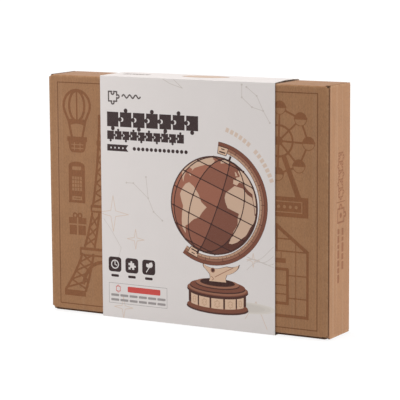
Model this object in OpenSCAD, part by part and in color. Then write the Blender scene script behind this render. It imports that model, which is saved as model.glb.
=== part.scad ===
// Boxed wooden globe puzzle: a mailer box folded from thin corrugated board, a printed
// paper sleeve round its middle, and the kit of laser-cut plywood sheets that it holds.
// Millimetres. +Z is up, -Y is the front (the lid) and +X is to the right. The origin is
// under the middle of the box, on the surface that the sleeve's underside rests on.

/* [Box] */
// Length of the box, left to right
box_l = 312; // [250:1:420]
// Height of the box as it stands on its long edge
box_h = 240; // [190:1:320]
// Thickness of the corrugated board
board_t = 1.6; // [1:0.1:3]
// Radius inside each crease of the board
crease_r = 0.4; // [0.2:0.1:1]

/* [Flaps] */
// Depth of the flap that tucks the lid in
tuck_l = 30; // [15:1:34]
// Height of the ear at each end of the tuck flap
ear_l = 34; // [15:1:60]
// Length of the corner flaps inside the rolled side walls
corner_flap_l = 70; // [30:1:90]
// Length of each locking tab of a side liner
tab_l = 24; // [10:1:40]
// Distance from the ends of a side wall to the middle of its locking tabs
tab_inset = 60; // [45:1:90]
// Slant cut from the corners of the flaps
flap_cut = 6; // [2:1:12]

/* [Sleeve] */
// Width of the paper sleeve, along the box
sleeve_w = 195; // [80:1:240]
// How far the sleeve sits to the right of the middle of the box
sleeve_shift = 3; // [-4:1:4]
// Thickness of the sleeve's paper board
sleeve_t = 0.4; // [0.3:0.1:0.8]
// Radius inside each crease of the sleeve
sleeve_crease_r = 0.3; // [0.1:0.1:0.6]
// Width of the sleeve's glued overlap
glue_flap_l = 18; // [8:1:30]

/* [Plywood sheets] */
// Number of sheets that hold the globe's surface tiles
tile_sheets = 4; // [1:1:6]
// Number of sheets that hold the curved ribs
rib_sheets = 6; // [1:1:8]
// Thickness of the plywood
sheet_t = 3; // [2:0.1:4]
// Width of the laser's cut
kerf = 0.3; // [0.1:0.05:0.5]
// Wood left between neighbouring cut-outs
web = 5; // [3:0.5:8]
// Tiles along a sheet
tile_cols = 6; // [3:1:8]
// Rows of tiles up a sheet
tile_rows = 4; // [2:1:5]
// Ribs along a sheet
rib_cols = 10; // [4:1:11]
// Rows of ribs up a sheet
rib_rows = 3; // [2:1:4]
// Width of a rib
rib_w = 9; // [6:0.5:11]
// Curve of a rib: how far it bulges, as a share of half its height
rib_curve = 0.42; // [0.2:0.01:0.45]
// Length of a tile's joint tab, and depth of a tile's notch
joint_l = 3; // [2:0.5:4]
// Width of the joint tabs and notches
joint_w = 6; // [4:0.5:8]

/* [Booklet] */
// Length of the instruction booklet
booklet_l = 210; // [120:1:230]
// Height of the instruction booklet
booklet_h = 148; // [90:1:178]
// Thickness of the closed booklet
booklet_t = 2.4; // [1.5:0.1:5]
// Thickness of the booklet's cover
cover_t = 0.3; // [0.2:0.05:0.5]
// Wire diameter of the staples
staple_d = 0.5; // [0.3:0.1:0.8]
// Width of a staple's crown
staple_l = 12; // [8:1:16]

/* [Accessory carton] */
// Length of the flat carton for the loose accessories
carton_l = 180; // [140:1:220]
// Height of the carton
carton_h = 60; // [48:1:90]
// Depth of the carton
carton_d = 9; // [8:0.5:20]
// Thickness of the carton's card
card_t = 0.6; // [0.4:0.1:1]
// Number of dowels
dowels = 4; // [1:1:4]
// Diameter of a dowel
dowel_d = 5; // [3:0.5:6]
// Length of the block of wax
wax_l = 40; // [20:1:50]
// Height of the block of wax
wax_h = 14; // [8:1:16]
// Thickness of the block of wax
wax_t = 6; // [3:0.5:6]
// Length of the folded sandpaper
sandpaper_l = 70; // [30:1:80]
// Thickness of the sandpaper
sandpaper_t = 0.5; // [0.3:0.1:1]

/* [Clearances] */
// Between the box and the sleeve all round; the glue flap lies in it at the back
sleeve_gap = 0.7; // [0.6:0.1:1.5]
// Between two layers of board that lie on each other
layer_gap = 0.1; // [0.1:0.05:0.3]
// Between the lid and the rolled side walls
lid_gap = 0.3; // [0.2:0.1:0.8]
// From the corner flaps to the creases beside them
flap_gap = 0.4; // [0.3:0.1:1]
// Round a locking tab in its slot
slot_gap = 0.2; // [0.1:0.1:0.5]
// Between two things in the stack of contents
stack_gap = 0.2; // [0.1:0.1:0.5]
// Between the contents and the lid
headroom = 1; // [0.5:0.5:20]
// From the sheets to the ears at each end
sheet_play_l = 1.3; // [0.5:0.1:4]
// From the sheets up to the top wall
sheet_play_h = 4.9; // [1:0.1:10]
// Round the things in the accessory carton
item_gap = 1; // [0.5:0.1:2]

/* [Hidden] */
$fn = 48;
sheets = tile_sheets + rib_sheets;

// The box is as deep as its contents need
box_d = 2 * board_t + sheets * sheet_t + booklet_t + carton_d
    + (sheets + 2) * stack_gap + headroom;
fold_r = board_t + crease_r;
sleeve_fold_r = sleeve_t + sleeve_crease_r;

// Faces of the box's panels, from the outside inwards
x_out = box_l / 2;
y_front = -box_d / 2;
y_back = box_d / 2;
z_low = sleeve_t + sleeve_gap;
z_high = z_low + box_h;
z_mid = (z_low + z_high) / 2;
y_lid = y_front + board_t;
y_base = y_back - board_t;
y_roll = y_lid + lid_gap;
x_wall = x_out - board_t;
x_flap_out = x_wall - layer_gap;
x_flap_in = x_flap_out - board_t;
x_liner_out = x_flap_in - layer_gap;
x_liner_in = x_liner_out - board_t;
x_ear_out = x_liner_in - layer_gap;
x_ear_in = x_ear_out - board_t;
z_floor = z_low + board_t;
z_tuck = z_floor + layer_gap;
z_rest = z_tuck + board_t + layer_gap;
z_ceiling = z_high - board_t;

// Ends of the straight stretch of the panels, where their creases start
x_top_end = x_flap_out - fold_r;
x_tuck_end = x_ear_out - fold_r;
y_flap_front = y_roll + board_t + flap_gap;
y_flap_back = y_base - flap_gap;

// Faces of the sleeve
x_sleeve_0 = sleeve_shift - sleeve_w / 2;
x_sleeve_1 = sleeve_shift + sleeve_w / 2;
y_sleeve = y_back + sleeve_gap + sleeve_t;
z_sleeve = z_high + sleeve_gap + sleeve_t;
y_glue = y_sleeve - sleeve_t;

// Plywood sheets
sheet_x = x_ear_in - sheet_play_l;
sheet_z0 = z_rest;
sheet_z1 = z_ceiling - sheet_play_h;
sheet_pitch = sheet_t + stack_gap;
rim = 2 * web;
tile_cell_l = (2 * sheet_x - 2 * rim) / tile_cols;
tile_cell_h = (sheet_z1 - sheet_z0 - 2 * rim) / tile_rows;
rib_cell_l = (2 * sheet_x - 2 * rim) / rib_cols;
rib_cell_h = (sheet_z1 - sheet_z0 - 2 * rim) / rib_rows;

// Booklet and accessory carton, in front of the sheets
y_booklet = y_base - stack_gap - sheets * sheet_pitch;
y_carton = y_booklet - booklet_t - stack_gap;
cover_r = booklet_t / 2;
x_spine = -booklet_l / 2;
staple_z = booklet_h / 4;
staple_leg = booklet_t / 2 + 2 * cover_t;
wire_gap = 0.1;
tray_l = carton_l - 2 * (card_t + layer_gap);
tray_h = carton_h - 2 * (card_t + layer_gap);
tray_d = carton_d - card_t - layer_gap;
y_tray = y_carton - tray_d;
dowel_l = tray_l - 2 * (card_t + item_gap);
dowel_pitch = dowel_d + item_gap;
z_tray = z_rest + card_t + layer_gap;
z_items = z_tray + card_t + item_gap + dowels * dowel_pitch;
sandpaper_h = z_tray + tray_h - card_t - item_gap - z_items;
sandpaper_r = 1.5 * sandpaper_t;

MAILER = [
    "base_panel", "top_wall", "bottom_wall", "lid_panel", "lid_tuck_flap",
    "lid_ear_left", "lid_ear_right",
    "side_wall_left", "side_wall_right",
    "side_rollover_left", "side_rollover_right",
    "side_liner_left", "side_liner_right",
    "corner_flap_top_left", "corner_flap_top_right",
    "corner_flap_bottom_left", "corner_flap_bottom_right",
];
SLEEVE = [
    "sleeve_front_panel", "sleeve_top_panel", "sleeve_back_panel",
    "sleeve_bottom_panel", "sleeve_glue_flap",
];
SHEETS = [
    for (i = [1 : sheets], part = ["frame", i <= tile_sheets ? "tiles" : "ribs"])
        str(i <= tile_sheets ? "tile_sheet_" : "rib_sheet_", i, "_", part)
];
LOOSE = [
    "booklet_cover", "booklet_pages", "booklet_staples",
    "accessory_tray", "accessory_cover", "wax_block", "sandpaper", "dowel_rods",
];

kraft = [0.70, 0.55, 0.42];
raw_board = [0.62, 0.47, 0.35];
white_paper = [0.90, 0.88, 0.87];
plywood = [0.83, 0.69, 0.49];
charred = [0.45, 0.32, 0.20];

// ---- Helpers ----

// A flat outline drawn in Y and Z, pulled along X from x0 to x1
module along_x(x0, x1)
    translate([x0, 0, 0]) rotate([90, 0, 90]) linear_extrude(x1 - x0) children();

// A flat outline drawn in X and Z, pulled along Y from y0 to y1
module along_y(y0, y1)
    translate([0, y1, 0]) rotate([90, 0, 0]) linear_extrude(y1 - y0) children();

// A flat outline drawn in X and Y, pulled along Z from z0 to z1
module along_z(z0, z1)
    translate([0, 0, z0]) linear_extrude(z1 - z0) children();

// A block between two opposite corners
module block(low, high)
    translate(low) cube(high - low);

// Half of a crease: 45 degrees of a ring, from the angle start
module half_crease(centre, radius, thick, start)
    translate(centre) intersection() {
        difference() {
            circle(r = radius);
            circle(r = radius - thick);
        }
        polygon(concat([[0, 0]], [
            for (a = [start, start + 45]) 2 * radius * [cos(a), sin(a)]
        ]));
    }

// The same crease of corrugated board
module board_crease(centre, start)
    half_crease(centre, fold_r, board_t, start);

// Right-hand things as they are drawn, left-hand things mirrored
module on_side(side)
    mirror([side == "left" ? 1 : 0, 0, 0]) children();

// Upper things as they are drawn, lower things mirrored about the middle of the box
module at_end(end)
    translate([0, 0, z_mid]) mirror([0, 0, end == "bottom" ? 1 : 0])
        translate([0, 0, -z_mid]) children();

// A thing and its mirror image on the other side of the box
module both_sides() {
    children();
    mirror([1, 0, 0]) children();
}

// ---- Mailer box ----

// The back of the standing box: the panel that every wall folds up from
module base_panel() color(kraft)
    difference() {
        union() {
            block([-x_out + fold_r, y_base, z_low + fold_r], [x_out - fold_r, y_back, z_high - fold_r]);
            along_x(-x_top_end, x_top_end) {
                board_crease([y_back - fold_r, z_high - fold_r], 0);
                board_crease([y_back - fold_r, z_low + fold_r], -45);
            }
            both_sides() along_z(z_low + fold_r, z_high - fold_r)
                board_crease([x_out - fold_r, y_back - fold_r], 45);
        }
        for (end = ["top", "bottom"]) both_sides() at_end(end) tab_slot();
    }

// A slot in the base for one locking tab of a side liner
module tab_slot()
    block(
        [x_liner_in - slot_gap, y_base - board_t, z_high - tab_inset - tab_l / 2 - slot_gap],
        [x_liner_out + slot_gap, y_back + board_t, z_high - tab_inset + tab_l / 2 + slot_gap]
    );

// The crease where a top or bottom wall turns into a corner flap
module wall_end_crease(z_edge, start)
    both_sides() along_y(y_flap_front, y_flap_back)
        board_crease([x_top_end, z_edge], start);

// The wall that the lid is hinged to
module top_wall() color(kraft) {
    block([-x_top_end, y_front + fold_r, z_ceiling], [x_top_end, y_back - fold_r, z_high]);
    along_x(-x_top_end, x_top_end) {
        board_crease([y_front + fold_r, z_high - fold_r], 90);
        board_crease([y_back - fold_r, z_high - fold_r], 45);
    }
    wall_end_crease(z_high - fold_r, 45);
}

// The wall that the box stands on, with a cut edge under the lid
module bottom_wall() color(kraft) {
    block([-x_top_end, y_roll, z_low], [x_top_end, y_back - fold_r, z_floor]);
    along_x(-x_top_end, x_top_end)
        board_crease([y_back - fold_r, z_low + fold_r], -90);
    wall_end_crease(z_low + fold_r, -90);
}

// The front of the standing box; its ends are raw cut edges
module lid_panel() color(kraft) {
    block([-x_out, y_front, z_tuck + fold_r], [x_out, y_lid, z_high - fold_r]);
    along_x(-x_top_end, x_top_end)
        board_crease([y_front + fold_r, z_high - fold_r], 135);
    along_x(-x_tuck_end, x_tuck_end)
        board_crease([y_front + fold_r, z_tuck + fold_r], 180);
}

// The flap that goes in over the bottom wall and keeps the lid shut
module lid_tuck_flap() color(kraft) {
    block(
        [-x_tuck_end, y_front + fold_r, z_tuck],
        [x_tuck_end, y_front + fold_r + tuck_l, z_tuck + board_t]
    );
    along_x(-x_tuck_end, x_tuck_end)
        board_crease([y_front + fold_r, z_tuck + fold_r], 225);
    both_sides() along_y(y_flap_front, y_front + fold_r + tuck_l - flap_cut)
        board_crease([x_tuck_end, z_tuck + fold_r], 270);
}

// An ear at the end of the tuck flap, which stands against the side liner
module lid_ear(side) color(kraft) on_side(side) {
    ear_front = y_flap_front;
    ear_back = y_front + fold_r + tuck_l - flap_cut;
    ear_low = z_tuck + fold_r;
    along_x(x_ear_in, x_ear_out) polygon([
        [ear_front, ear_low], [ear_back, ear_low],
        [ear_back, ear_low + ear_l - flap_cut], [ear_back - flap_cut, ear_low + ear_l],
        [ear_front + flap_cut, ear_low + ear_l], [ear_front, ear_low + ear_l - flap_cut],
    ]);
    along_y(ear_front, ear_back) board_crease([x_tuck_end, ear_low], 315);
}

// The outer layer of a rolled side wall
module side_wall(side) color(kraft) on_side(side) {
    block([x_wall, y_roll + fold_r, z_low], [x_out, y_back - fold_r, z_high]);
    along_z(z_low + fold_r, z_high - fold_r)
        board_crease([x_out - fold_r, y_back - fold_r], 0);
    along_z(z_tuck, z_ceiling - layer_gap)
        board_crease([x_out - fold_r, y_roll + fold_r], 315);
}

// The narrow strip that turns over the top of a rolled side wall
module side_rollover(side) color(kraft) on_side(side)
    along_z(z_tuck, z_ceiling - layer_gap) {
        translate([x_liner_in + fold_r, y_roll])
            square([x_out - x_liner_in - 2 * fold_r, board_t]);
        board_crease([x_out - fold_r, y_roll + fold_r], 270);
        board_crease([x_liner_in + fold_r, y_roll + fold_r], 225);
    }

// The inner layer of a rolled side wall, locked into the base by its tabs
module side_liner(side) color(kraft) on_side(side) {
    liner_low = z_low + fold_r;
    liner_high = z_high - fold_r;
    block([x_liner_in, y_roll + fold_r, liner_low], [x_liner_out, y_base, liner_high]);
    along_z(liner_low, liner_high)
        board_crease([x_liner_in + fold_r, y_roll + fold_r], 180);
    for (end = ["top", "bottom"]) at_end(end) block(
        [x_liner_in, y_base, z_high - tab_inset - tab_l / 2],
        [x_liner_out, y_back - slot_gap, z_high - tab_inset + tab_l / 2]
    );
}

// A flap of the top or bottom wall, held between the two layers of a side wall
module corner_flap(end, side) color(raw_board) on_side(side) at_end(end) {
    flap_top = z_high - fold_r;
    flap_low = flap_top - corner_flap_l;
    along_x(x_flap_in, x_flap_out) polygon([
        [y_flap_front, flap_top], [y_flap_back, flap_top],
        [y_flap_back, flap_low + flap_cut], [y_flap_back - flap_cut, flap_low],
        [y_flap_front + flap_cut, flap_low], [y_flap_front, flap_low + flap_cut],
    ]);
    along_y(y_flap_front, y_flap_back) board_crease([x_top_end, flap_top], 0);
}

// ---- Sleeve ----

// A length of the sleeve's section, pulled over the width of the sleeve
module sleeve_strip()
    color(white_paper) along_x(x_sleeve_0, x_sleeve_1) children();

module sleeve_crease(centre, start)
    half_crease(centre, sleeve_fold_r, sleeve_t, start);

module sleeve_front_panel() sleeve_strip() {
    translate([-y_sleeve, sleeve_fold_r])
        square([sleeve_t, z_sleeve - 2 * sleeve_fold_r]);
    sleeve_crease([-y_sleeve + sleeve_fold_r, z_sleeve - sleeve_fold_r], 135);
    sleeve_crease([-y_sleeve + sleeve_fold_r, sleeve_fold_r], 180);
}

module sleeve_top_panel() sleeve_strip() {
    translate([-y_sleeve + sleeve_fold_r, z_sleeve - sleeve_t])
        square([2 * (y_sleeve - sleeve_fold_r), sleeve_t]);
    sleeve_crease([-y_sleeve + sleeve_fold_r, z_sleeve - sleeve_fold_r], 90);
    sleeve_crease([y_sleeve - sleeve_fold_r, z_sleeve - sleeve_fold_r], 45);
}

// The back panel ends in a cut edge, glued over the glue flap
module sleeve_back_panel() sleeve_strip() {
    translate([y_glue, sleeve_t])
        square([sleeve_t, z_sleeve - sleeve_fold_r - sleeve_t]);
    sleeve_crease([y_sleeve - sleeve_fold_r, z_sleeve - sleeve_fold_r], 0);
}

module sleeve_bottom_panel() sleeve_strip() {
    translate([-y_sleeve + sleeve_fold_r, 0])
        square([y_glue + y_sleeve - 2 * sleeve_fold_r, sleeve_t]);
    sleeve_crease([-y_sleeve + sleeve_fold_r, sleeve_fold_r], 225);
    sleeve_crease([y_glue - sleeve_fold_r, sleeve_fold_r], 270);
}

module sleeve_glue_flap() sleeve_strip() {
    translate([y_glue - sleeve_t, sleeve_fold_r])
        square([sleeve_t, glue_flap_l - sleeve_fold_r]);
    sleeve_crease([y_glue - sleeve_fold_r, sleeve_fold_r], 315);
}

// ---- Plywood sheets ----

// Sheet number i lies i places in front of the base
module sheet_layer(i)
    along_y(y_base - i * sheet_pitch, y_base - i * sheet_pitch + sheet_t) children();

// Copies of an outline in the middle of each cell of a sheet
module cells(cols, rows, cell_l, cell_h)
    for (c = [0 : cols - 1], r = [0 : rows - 1])
        translate([-sheet_x + rim + (c + 0.5) * cell_l, sheet_z0 + rim + (r + 0.5) * cell_h])
            children();

// A surface tile of the globe: it narrows towards the pole, with a joint tab on the wide
// end and a notch in the narrow end. The cut-out in the sheet is larger by the kerf.
module tile_outline(grow) {
    wide = tile_cell_l - web;
    narrow = 0.72 * wide;
    half_h = (tile_cell_h - web - joint_l) / 2;
    difference() {
        union() {
            polygon([
                [-wide / 2 - grow, -half_h - grow], [wide / 2 + grow, -half_h - grow],
                [narrow / 2 + grow, half_h + grow], [-narrow / 2 - grow, half_h + grow],
            ]);
            translate([-joint_w / 2 - grow, -half_h - joint_l - grow])
                square([joint_w + 2 * grow, joint_l + 2 * grow]);
        }
        translate([-joint_w / 2 + grow, half_h - joint_l + grow])
            square([joint_w - 2 * grow, 2 * joint_l]);
    }
}

// A curved rib of the globe's framework, with a halving slot in its inner edge. It is an
// arc that fills its cell's height, and keeps its curve when the sheet gets longer.
module rib_outline(grow) {
    half_h = (rib_cell_h - web) / 2;
    bulge = rib_curve * half_h;
    radius = (half_h * half_h + bulge * bulge) / (2 * bulge);
    slot_w = sheet_t;
    translate([bulge / 2 - radius, 0]) difference() {
        intersection() {
            difference() {
                circle(r = radius + rib_w / 2 + grow, $fn = 96);
                circle(r = radius - rib_w / 2 - grow, $fn = 96);
            }
            translate([0, -half_h - grow])
                square([radius + rib_w, 2 * (half_h + grow)]);
        }
        translate([0, -slot_w / 2 + grow])
            square([radius - grow, slot_w - 2 * grow]);
    }
}

module sheet_pieces(i, grow)
    if (i <= tile_sheets)
        cells(tile_cols, tile_rows, tile_cell_l, tile_cell_h) tile_outline(grow);
    else
        cells(rib_cols, rib_rows, rib_cell_l, rib_cell_h) rib_outline(grow);

// What is left of a sheet round its pieces
module sheet_frame(i) color(plywood) sheet_layer(i)
    difference() {
        translate([-sheet_x, sheet_z0]) square([2 * sheet_x, sheet_z1 - sheet_z0]);
        sheet_pieces(i, kerf);
    }

module sheet_cut_pieces(i) color(i <= tile_sheets ? charred : plywood) sheet_layer(i)
    sheet_pieces(i, 0);

// ---- Booklet ----

// Wire of one staple: a crown along the spine and two legs through it
module staple(wire_d)
    for (end = [-1, 1]) {
        translate([x_spine - cover_t - staple_d / 2, y_booklet - booklet_t / 2, end * staple_l / 2])
            rotate([0, 90, 0]) cylinder(d = wire_d, h = staple_leg);
        translate([x_spine - cover_t - staple_d / 2, y_booklet - booklet_t / 2, -staple_l / 2])
            cylinder(d = wire_d, h = staple_l);
    }

module staples(wire_d)
    for (k = [1, 3]) translate([0, 0, z_rest + k * staple_z]) staple(wire_d);

// A folded cover, open on the right
module booklet_cover() color("ivory") difference() {
    along_z(z_rest, z_rest + booklet_h) {
        translate([x_spine + cover_r, y_booklet - booklet_t / 2]) difference() {
            circle(r = cover_r);
            circle(r = cover_r - cover_t);
            translate([0, -booklet_t]) square([booklet_t, 2 * booklet_t]);
        }
        for (y = [y_booklet - cover_t, y_booklet - booklet_t])
            translate([x_spine + cover_r, y]) square([booklet_l - cover_r, cover_t]);
    }
    staples(staple_d + 2 * wire_gap);
}

module booklet_pages() color("white") difference() {
    block(
        [x_spine + cover_r, y_booklet - booklet_t + cover_t + layer_gap, z_rest],
        [x_spine + booklet_l - cover_t, y_booklet - cover_t - layer_gap, z_rest + booklet_h]
    );
    staples(staple_d + 2 * wire_gap);
}

module booklet_staples() color("silver") staples(staple_d);

// ---- Accessory carton ----

module accessory_tray() color(kraft) difference() {
    block([-tray_l / 2, y_tray, z_tray], [tray_l / 2, y_carton, z_tray + tray_h]);
    block(
        [-tray_l / 2 + card_t, y_tray - card_t, z_tray + card_t],
        [tray_l / 2 - card_t, y_carton - card_t, z_tray + tray_h - card_t]
    );
}

// A cap that slips over the open front of the tray
module accessory_cover() color(kraft) difference() {
    block(
        [-carton_l / 2, y_carton - carton_d, z_rest],
        [carton_l / 2, y_carton - card_t, z_rest + carton_h]
    );
    block(
        [-carton_l / 2 + card_t, y_carton - carton_d + card_t, z_rest + card_t],
        [carton_l / 2 - card_t, y_carton, z_rest + carton_h - card_t]
    );
}

module dowel_rods() color(plywood)
    for (k = [0 : dowels - 1])
        translate([-dowel_l / 2, y_carton - card_t - item_gap - dowel_d / 2,
                z_tray + card_t + item_gap + dowel_d / 2 + k * dowel_pitch])
            rotate([0, 90, 0]) cylinder(d = dowel_d, h = dowel_l);

module wax_block() color("floralwhite")
    along_y(y_carton - card_t - item_gap - wax_t, y_carton - card_t - item_gap)
        translate([-dowel_l / 2, z_items]) {
            translate([wax_h / 2, 0]) square([wax_l - wax_h, wax_h]);
            for (x = [wax_h / 2, wax_l - wax_h / 2]) translate([x, wax_h / 2]) circle(d = wax_h);
        }

// A strip of sandpaper folded once, with its fold on the right
module sandpaper() color("peru") {
    fold_x = dowel_l / 2 - sandpaper_r;
    fold_y = y_carton - card_t - item_gap - sandpaper_r;
    along_z(z_items, z_items + sandpaper_h) {
        translate([fold_x, fold_y]) difference() {
            circle(r = sandpaper_r);
            circle(r = sandpaper_r - sandpaper_t);
            translate([-2 * sandpaper_r, -sandpaper_r]) square(2 * sandpaper_r);
        }
        for (y = [fold_y + sandpaper_r - sandpaper_t, fold_y - sandpaper_r])
            translate([fold_x - sandpaper_l, y]) square([sandpaper_l, sandpaper_t]);
    }
}

// ---- One line for each part ----

base_panel();
top_wall();
bottom_wall();
lid_panel();
lid_tuck_flap();
for (side = ["left", "right"]) {
    lid_ear(side);
    side_wall(side);
    side_rollover(side);
    side_liner(side);
    for (end = ["top", "bottom"])
        corner_flap(end, side);
}
sleeve_front_panel();
sleeve_top_panel();
sleeve_back_panel();
sleeve_bottom_panel();
sleeve_glue_flap();
for (i = [1 : tile_sheets]) {
    sheet_frame(i);
    sheet_cut_pieces(i);
}
for (i = [tile_sheets + 1 : sheets]) {
    sheet_frame(i);
    sheet_cut_pieces(i);
}
booklet_cover();
booklet_pages();
booklet_staples();
accessory_tray();
accessory_cover();
wax_block();
sandpaper();
dowel_rods();
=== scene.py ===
# %% [markdown]
# # A boxed wooden globe puzzle
#
# The object is a flat mailer box, folded from one blank of thin corrugated board, which
# stands on its long edge with a printed paper sleeve round its middle. The sleeve slides
# off sideways. Inside are sheets of laser-cut plywood, a booklet and a small carton.
#
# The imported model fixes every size. This script gives the box its looks: real corrugated
# board with flutes between two liners, a folded paper sleeve, the printing on both, and a
# finish for everything inside. The script works in millimetres and turns each finished
# mesh into metres, because a box maker thinks in millimetres and Blender in metres.

# %% Load the frame
import math
import random

import bpy
import numpy as np
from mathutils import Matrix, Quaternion, Vector
from mathutils.geometry import delaunay_2d_cdt


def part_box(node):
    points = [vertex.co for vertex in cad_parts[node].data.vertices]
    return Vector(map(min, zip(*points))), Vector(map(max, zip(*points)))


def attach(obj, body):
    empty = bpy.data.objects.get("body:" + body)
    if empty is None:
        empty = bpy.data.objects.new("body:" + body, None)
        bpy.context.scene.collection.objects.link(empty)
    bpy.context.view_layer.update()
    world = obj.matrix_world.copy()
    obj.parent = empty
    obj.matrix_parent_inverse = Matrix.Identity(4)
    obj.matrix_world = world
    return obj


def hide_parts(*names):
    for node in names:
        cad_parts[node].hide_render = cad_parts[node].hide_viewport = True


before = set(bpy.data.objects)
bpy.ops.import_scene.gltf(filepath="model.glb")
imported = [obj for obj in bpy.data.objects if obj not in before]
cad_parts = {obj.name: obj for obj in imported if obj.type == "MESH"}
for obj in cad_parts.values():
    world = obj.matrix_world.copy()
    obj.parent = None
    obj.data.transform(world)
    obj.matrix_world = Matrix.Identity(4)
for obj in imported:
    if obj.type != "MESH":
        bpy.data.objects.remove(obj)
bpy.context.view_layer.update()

MM = 0.001
scene = bpy.context.scene


def box_mm(node):
    """Lowest and highest corner of a CAD node, in millimetres."""
    low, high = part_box(node)
    return np.array(low) / MM, np.array(high) / MM


wall_low, wall_high = box_mm("side_wall_right")
X_OUT = wall_high[0]
Z_LOW, Z_HIGH = wall_low[2], wall_high[2]
Y_FRONT = box_mm("lid_panel")[0][1]
Y_BACK = box_mm("base_panel")[1][1]
SLEEVE_X0, SLEEVE_X1 = (corner[0] for corner in box_mm("sleeve_front_panel"))
Y_SLEEVE = box_mm("sleeve_back_panel")[1][1]
Z_SLEEVE = box_mm("sleeve_top_panel")[1][2]
print("box", 2 * X_OUT, Y_BACK - Y_FRONT, Z_HIGH - Z_LOW, "mm, sleeve", SLEEVE_X0, "to", SLEEVE_X1)

# %% [markdown]
# ## Camera
#
# The box is seen from the right front and a little above, through a long lens, so that its
# edges run almost parallel. A short lens close by would make the near corner look swollen.
# The camera looks at a point near the middle of the box, with a slight roll.

# %% Camera
AZIMUTH, ELEVATION, ROLL = (math.radians(a) for a in (29.86, 8.417, -0.335))
DISTANCE = 1.8725
AIM = Vector((0.0043, 0.0, 0.1201 + Z_LOW * MM))

back = Vector((
    math.sin(AZIMUTH) * math.cos(ELEVATION),
    -math.cos(AZIMUTH) * math.cos(ELEVATION),
    math.sin(ELEVATION),
))
camera_data = bpy.data.cameras.new("camera")
camera_data.lens = 171.4
camera_data.sensor_width = 36.0
camera = bpy.data.objects.new("camera", camera_data)
camera.location = AIM + back * DISTANCE
camera.rotation_mode = "QUATERNION"
camera.rotation_quaternion = (-back).to_track_quat("-Z", "Y") @ Quaternion((0, 0, 1), ROLL)
scene.collection.objects.link(camera)
scene.camera = camera
print("camera stands", round(camera.location.length, 3), "m from the origin")

# %% [markdown]
# ## Studio
#
# A light table is a sheet of opal plastic, lit from below, which turns the ground pure white
# and takes most of the shadow away. Here the floor glows in the same way, and its rim curves
# up all round, so that no edge is seen. Above it hang three lamps. A wide sun from above
# makes the top pale, and one from the right lifts the end wall off the darker lid. A square
# lamp near the left front corner lights the lid, more on the left than on the right.

# %% Lamps
def aim(lamp, towards):
    """Turns a lamp so that it shines in a direction."""
    lamp.rotation_mode = "QUATERNION"
    lamp.rotation_quaternion = Vector(towards).to_track_quat("-Z", "Y")


def soft_sun(name, strength, towards, spread):
    """A sun that shines in the direction towards, blurred over spread degrees."""
    light = bpy.data.lights.new(name, "SUN")
    light.energy = strength
    light.angle = math.radians(spread)
    lamp = bpy.data.objects.new(name, light)
    aim(lamp, towards)
    scene.collection.objects.link(lamp)


def square_lamp(name, power, place, target, size):
    """A square lamp at place that shines at target."""
    light = bpy.data.lights.new(name, "AREA")
    light.energy = power
    light.size = size
    lamp = bpy.data.objects.new(name, light)
    lamp.location = place
    aim(lamp, Vector(target) - Vector(place))
    scene.collection.objects.link(lamp)


world = bpy.data.worlds.new("white_tent")
scene.world = world
world.use_nodes = True
world.node_tree.nodes["Background"].inputs["Color"].default_value = (1.0, 1.0, 1.0, 1.0)
world.node_tree.nodes["Background"].inputs["Strength"].default_value = 0.20
soft_sun("top_light", 3.4, (0.1, 0.08, -1.0), 50)
soft_sun("right_light", 3.1, (-1.0, -0.5, -0.3), 34)
square_lamp("left_front_light", 1.15, (-0.50, -0.42, 0.26), (-0.14, 0.0, 0.12), 0.30)
scene.view_settings.view_transform = "Standard"
print("lamps:", [light.name for light in bpy.data.lights])

# %% Light table
RIM_STEPS = 96
FLOOR_PROFILE = [(9.0, 0.0), (10.0, 0.05), (11.0, 0.2), (12.0, 0.45), (12.8, 0.8), (13.3, 1.2)]
floor_points = [(0.0, 0.0, 0.0)]
for radius, height in FLOOR_PROFILE:
    for k in range(RIM_STEPS):
        turn = 2 * math.pi * k / RIM_STEPS
        floor_points.append((radius * math.cos(turn), radius * math.sin(turn), height))
floor_faces = [(0, 1 + k, 1 + (k + 1) % RIM_STEPS) for k in range(RIM_STEPS)]
for row in range(len(FLOOR_PROFILE) - 1):
    low, high = 1 + row * RIM_STEPS, 1 + (row + 1) * RIM_STEPS
    for k in range(RIM_STEPS):
        after = (k + 1) % RIM_STEPS
        floor_faces.append((low + k, high + k, high + after, low + after))
floor_mesh = bpy.data.meshes.new("floor")
floor_mesh.from_pydata(floor_points, [], floor_faces)
floor_mesh.shade_smooth()
floor = bpy.data.objects.new("floor", floor_mesh)
scene.collection.objects.link(floor)
opal = bpy.data.materials.new("opal_light_table")
opal.use_nodes = True
opal_shader = opal.node_tree.nodes["Principled BSDF"]
opal_shader.inputs["Base Color"].default_value = (0.14, 0.14, 0.14, 1.0)
opal_shader.inputs["Roughness"].default_value = 0.9
opal_shader.inputs["Specular IOR Level"].default_value = 0.1
opal_shader.inputs["Emission Color"].default_value = (1.0, 1.0, 1.0, 1.0)
opal_shader.inputs["Emission Strength"].default_value = 0.84
floor_mesh.materials.append(opal)
print("light table with", len(floor_faces), "faces")

# %% [markdown]
# ## Helpers for shader nodes
#
# A material is a small network, and it reads best when each node takes one line. These two
# helpers add a node, and set or link its inputs by name. A node group is a network with
# named inputs and outputs, which several materials can share.

# %% Node helpers
def add_node(tree, kind, inputs=None, **settings):
    """A new node. An input is linked if it is given a socket, and set if it is a value."""
    made = tree.nodes.new(kind)
    for name, value in settings.items():
        setattr(made, name, value)
    for name, value in (inputs or {}).items():
        if isinstance(value, bpy.types.NodeSocket):
            tree.links.new(value, made.inputs[name])
        else:
            made.inputs[name].default_value = value
    return made


def maths(tree, operation, first, second=0.0, clamp=False):
    """The result socket of one Math node."""
    return add_node(
        tree, "ShaderNodeMath", {0: first, 1: second}, operation=operation, use_clamp=clamp
    ).outputs[0]


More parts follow.
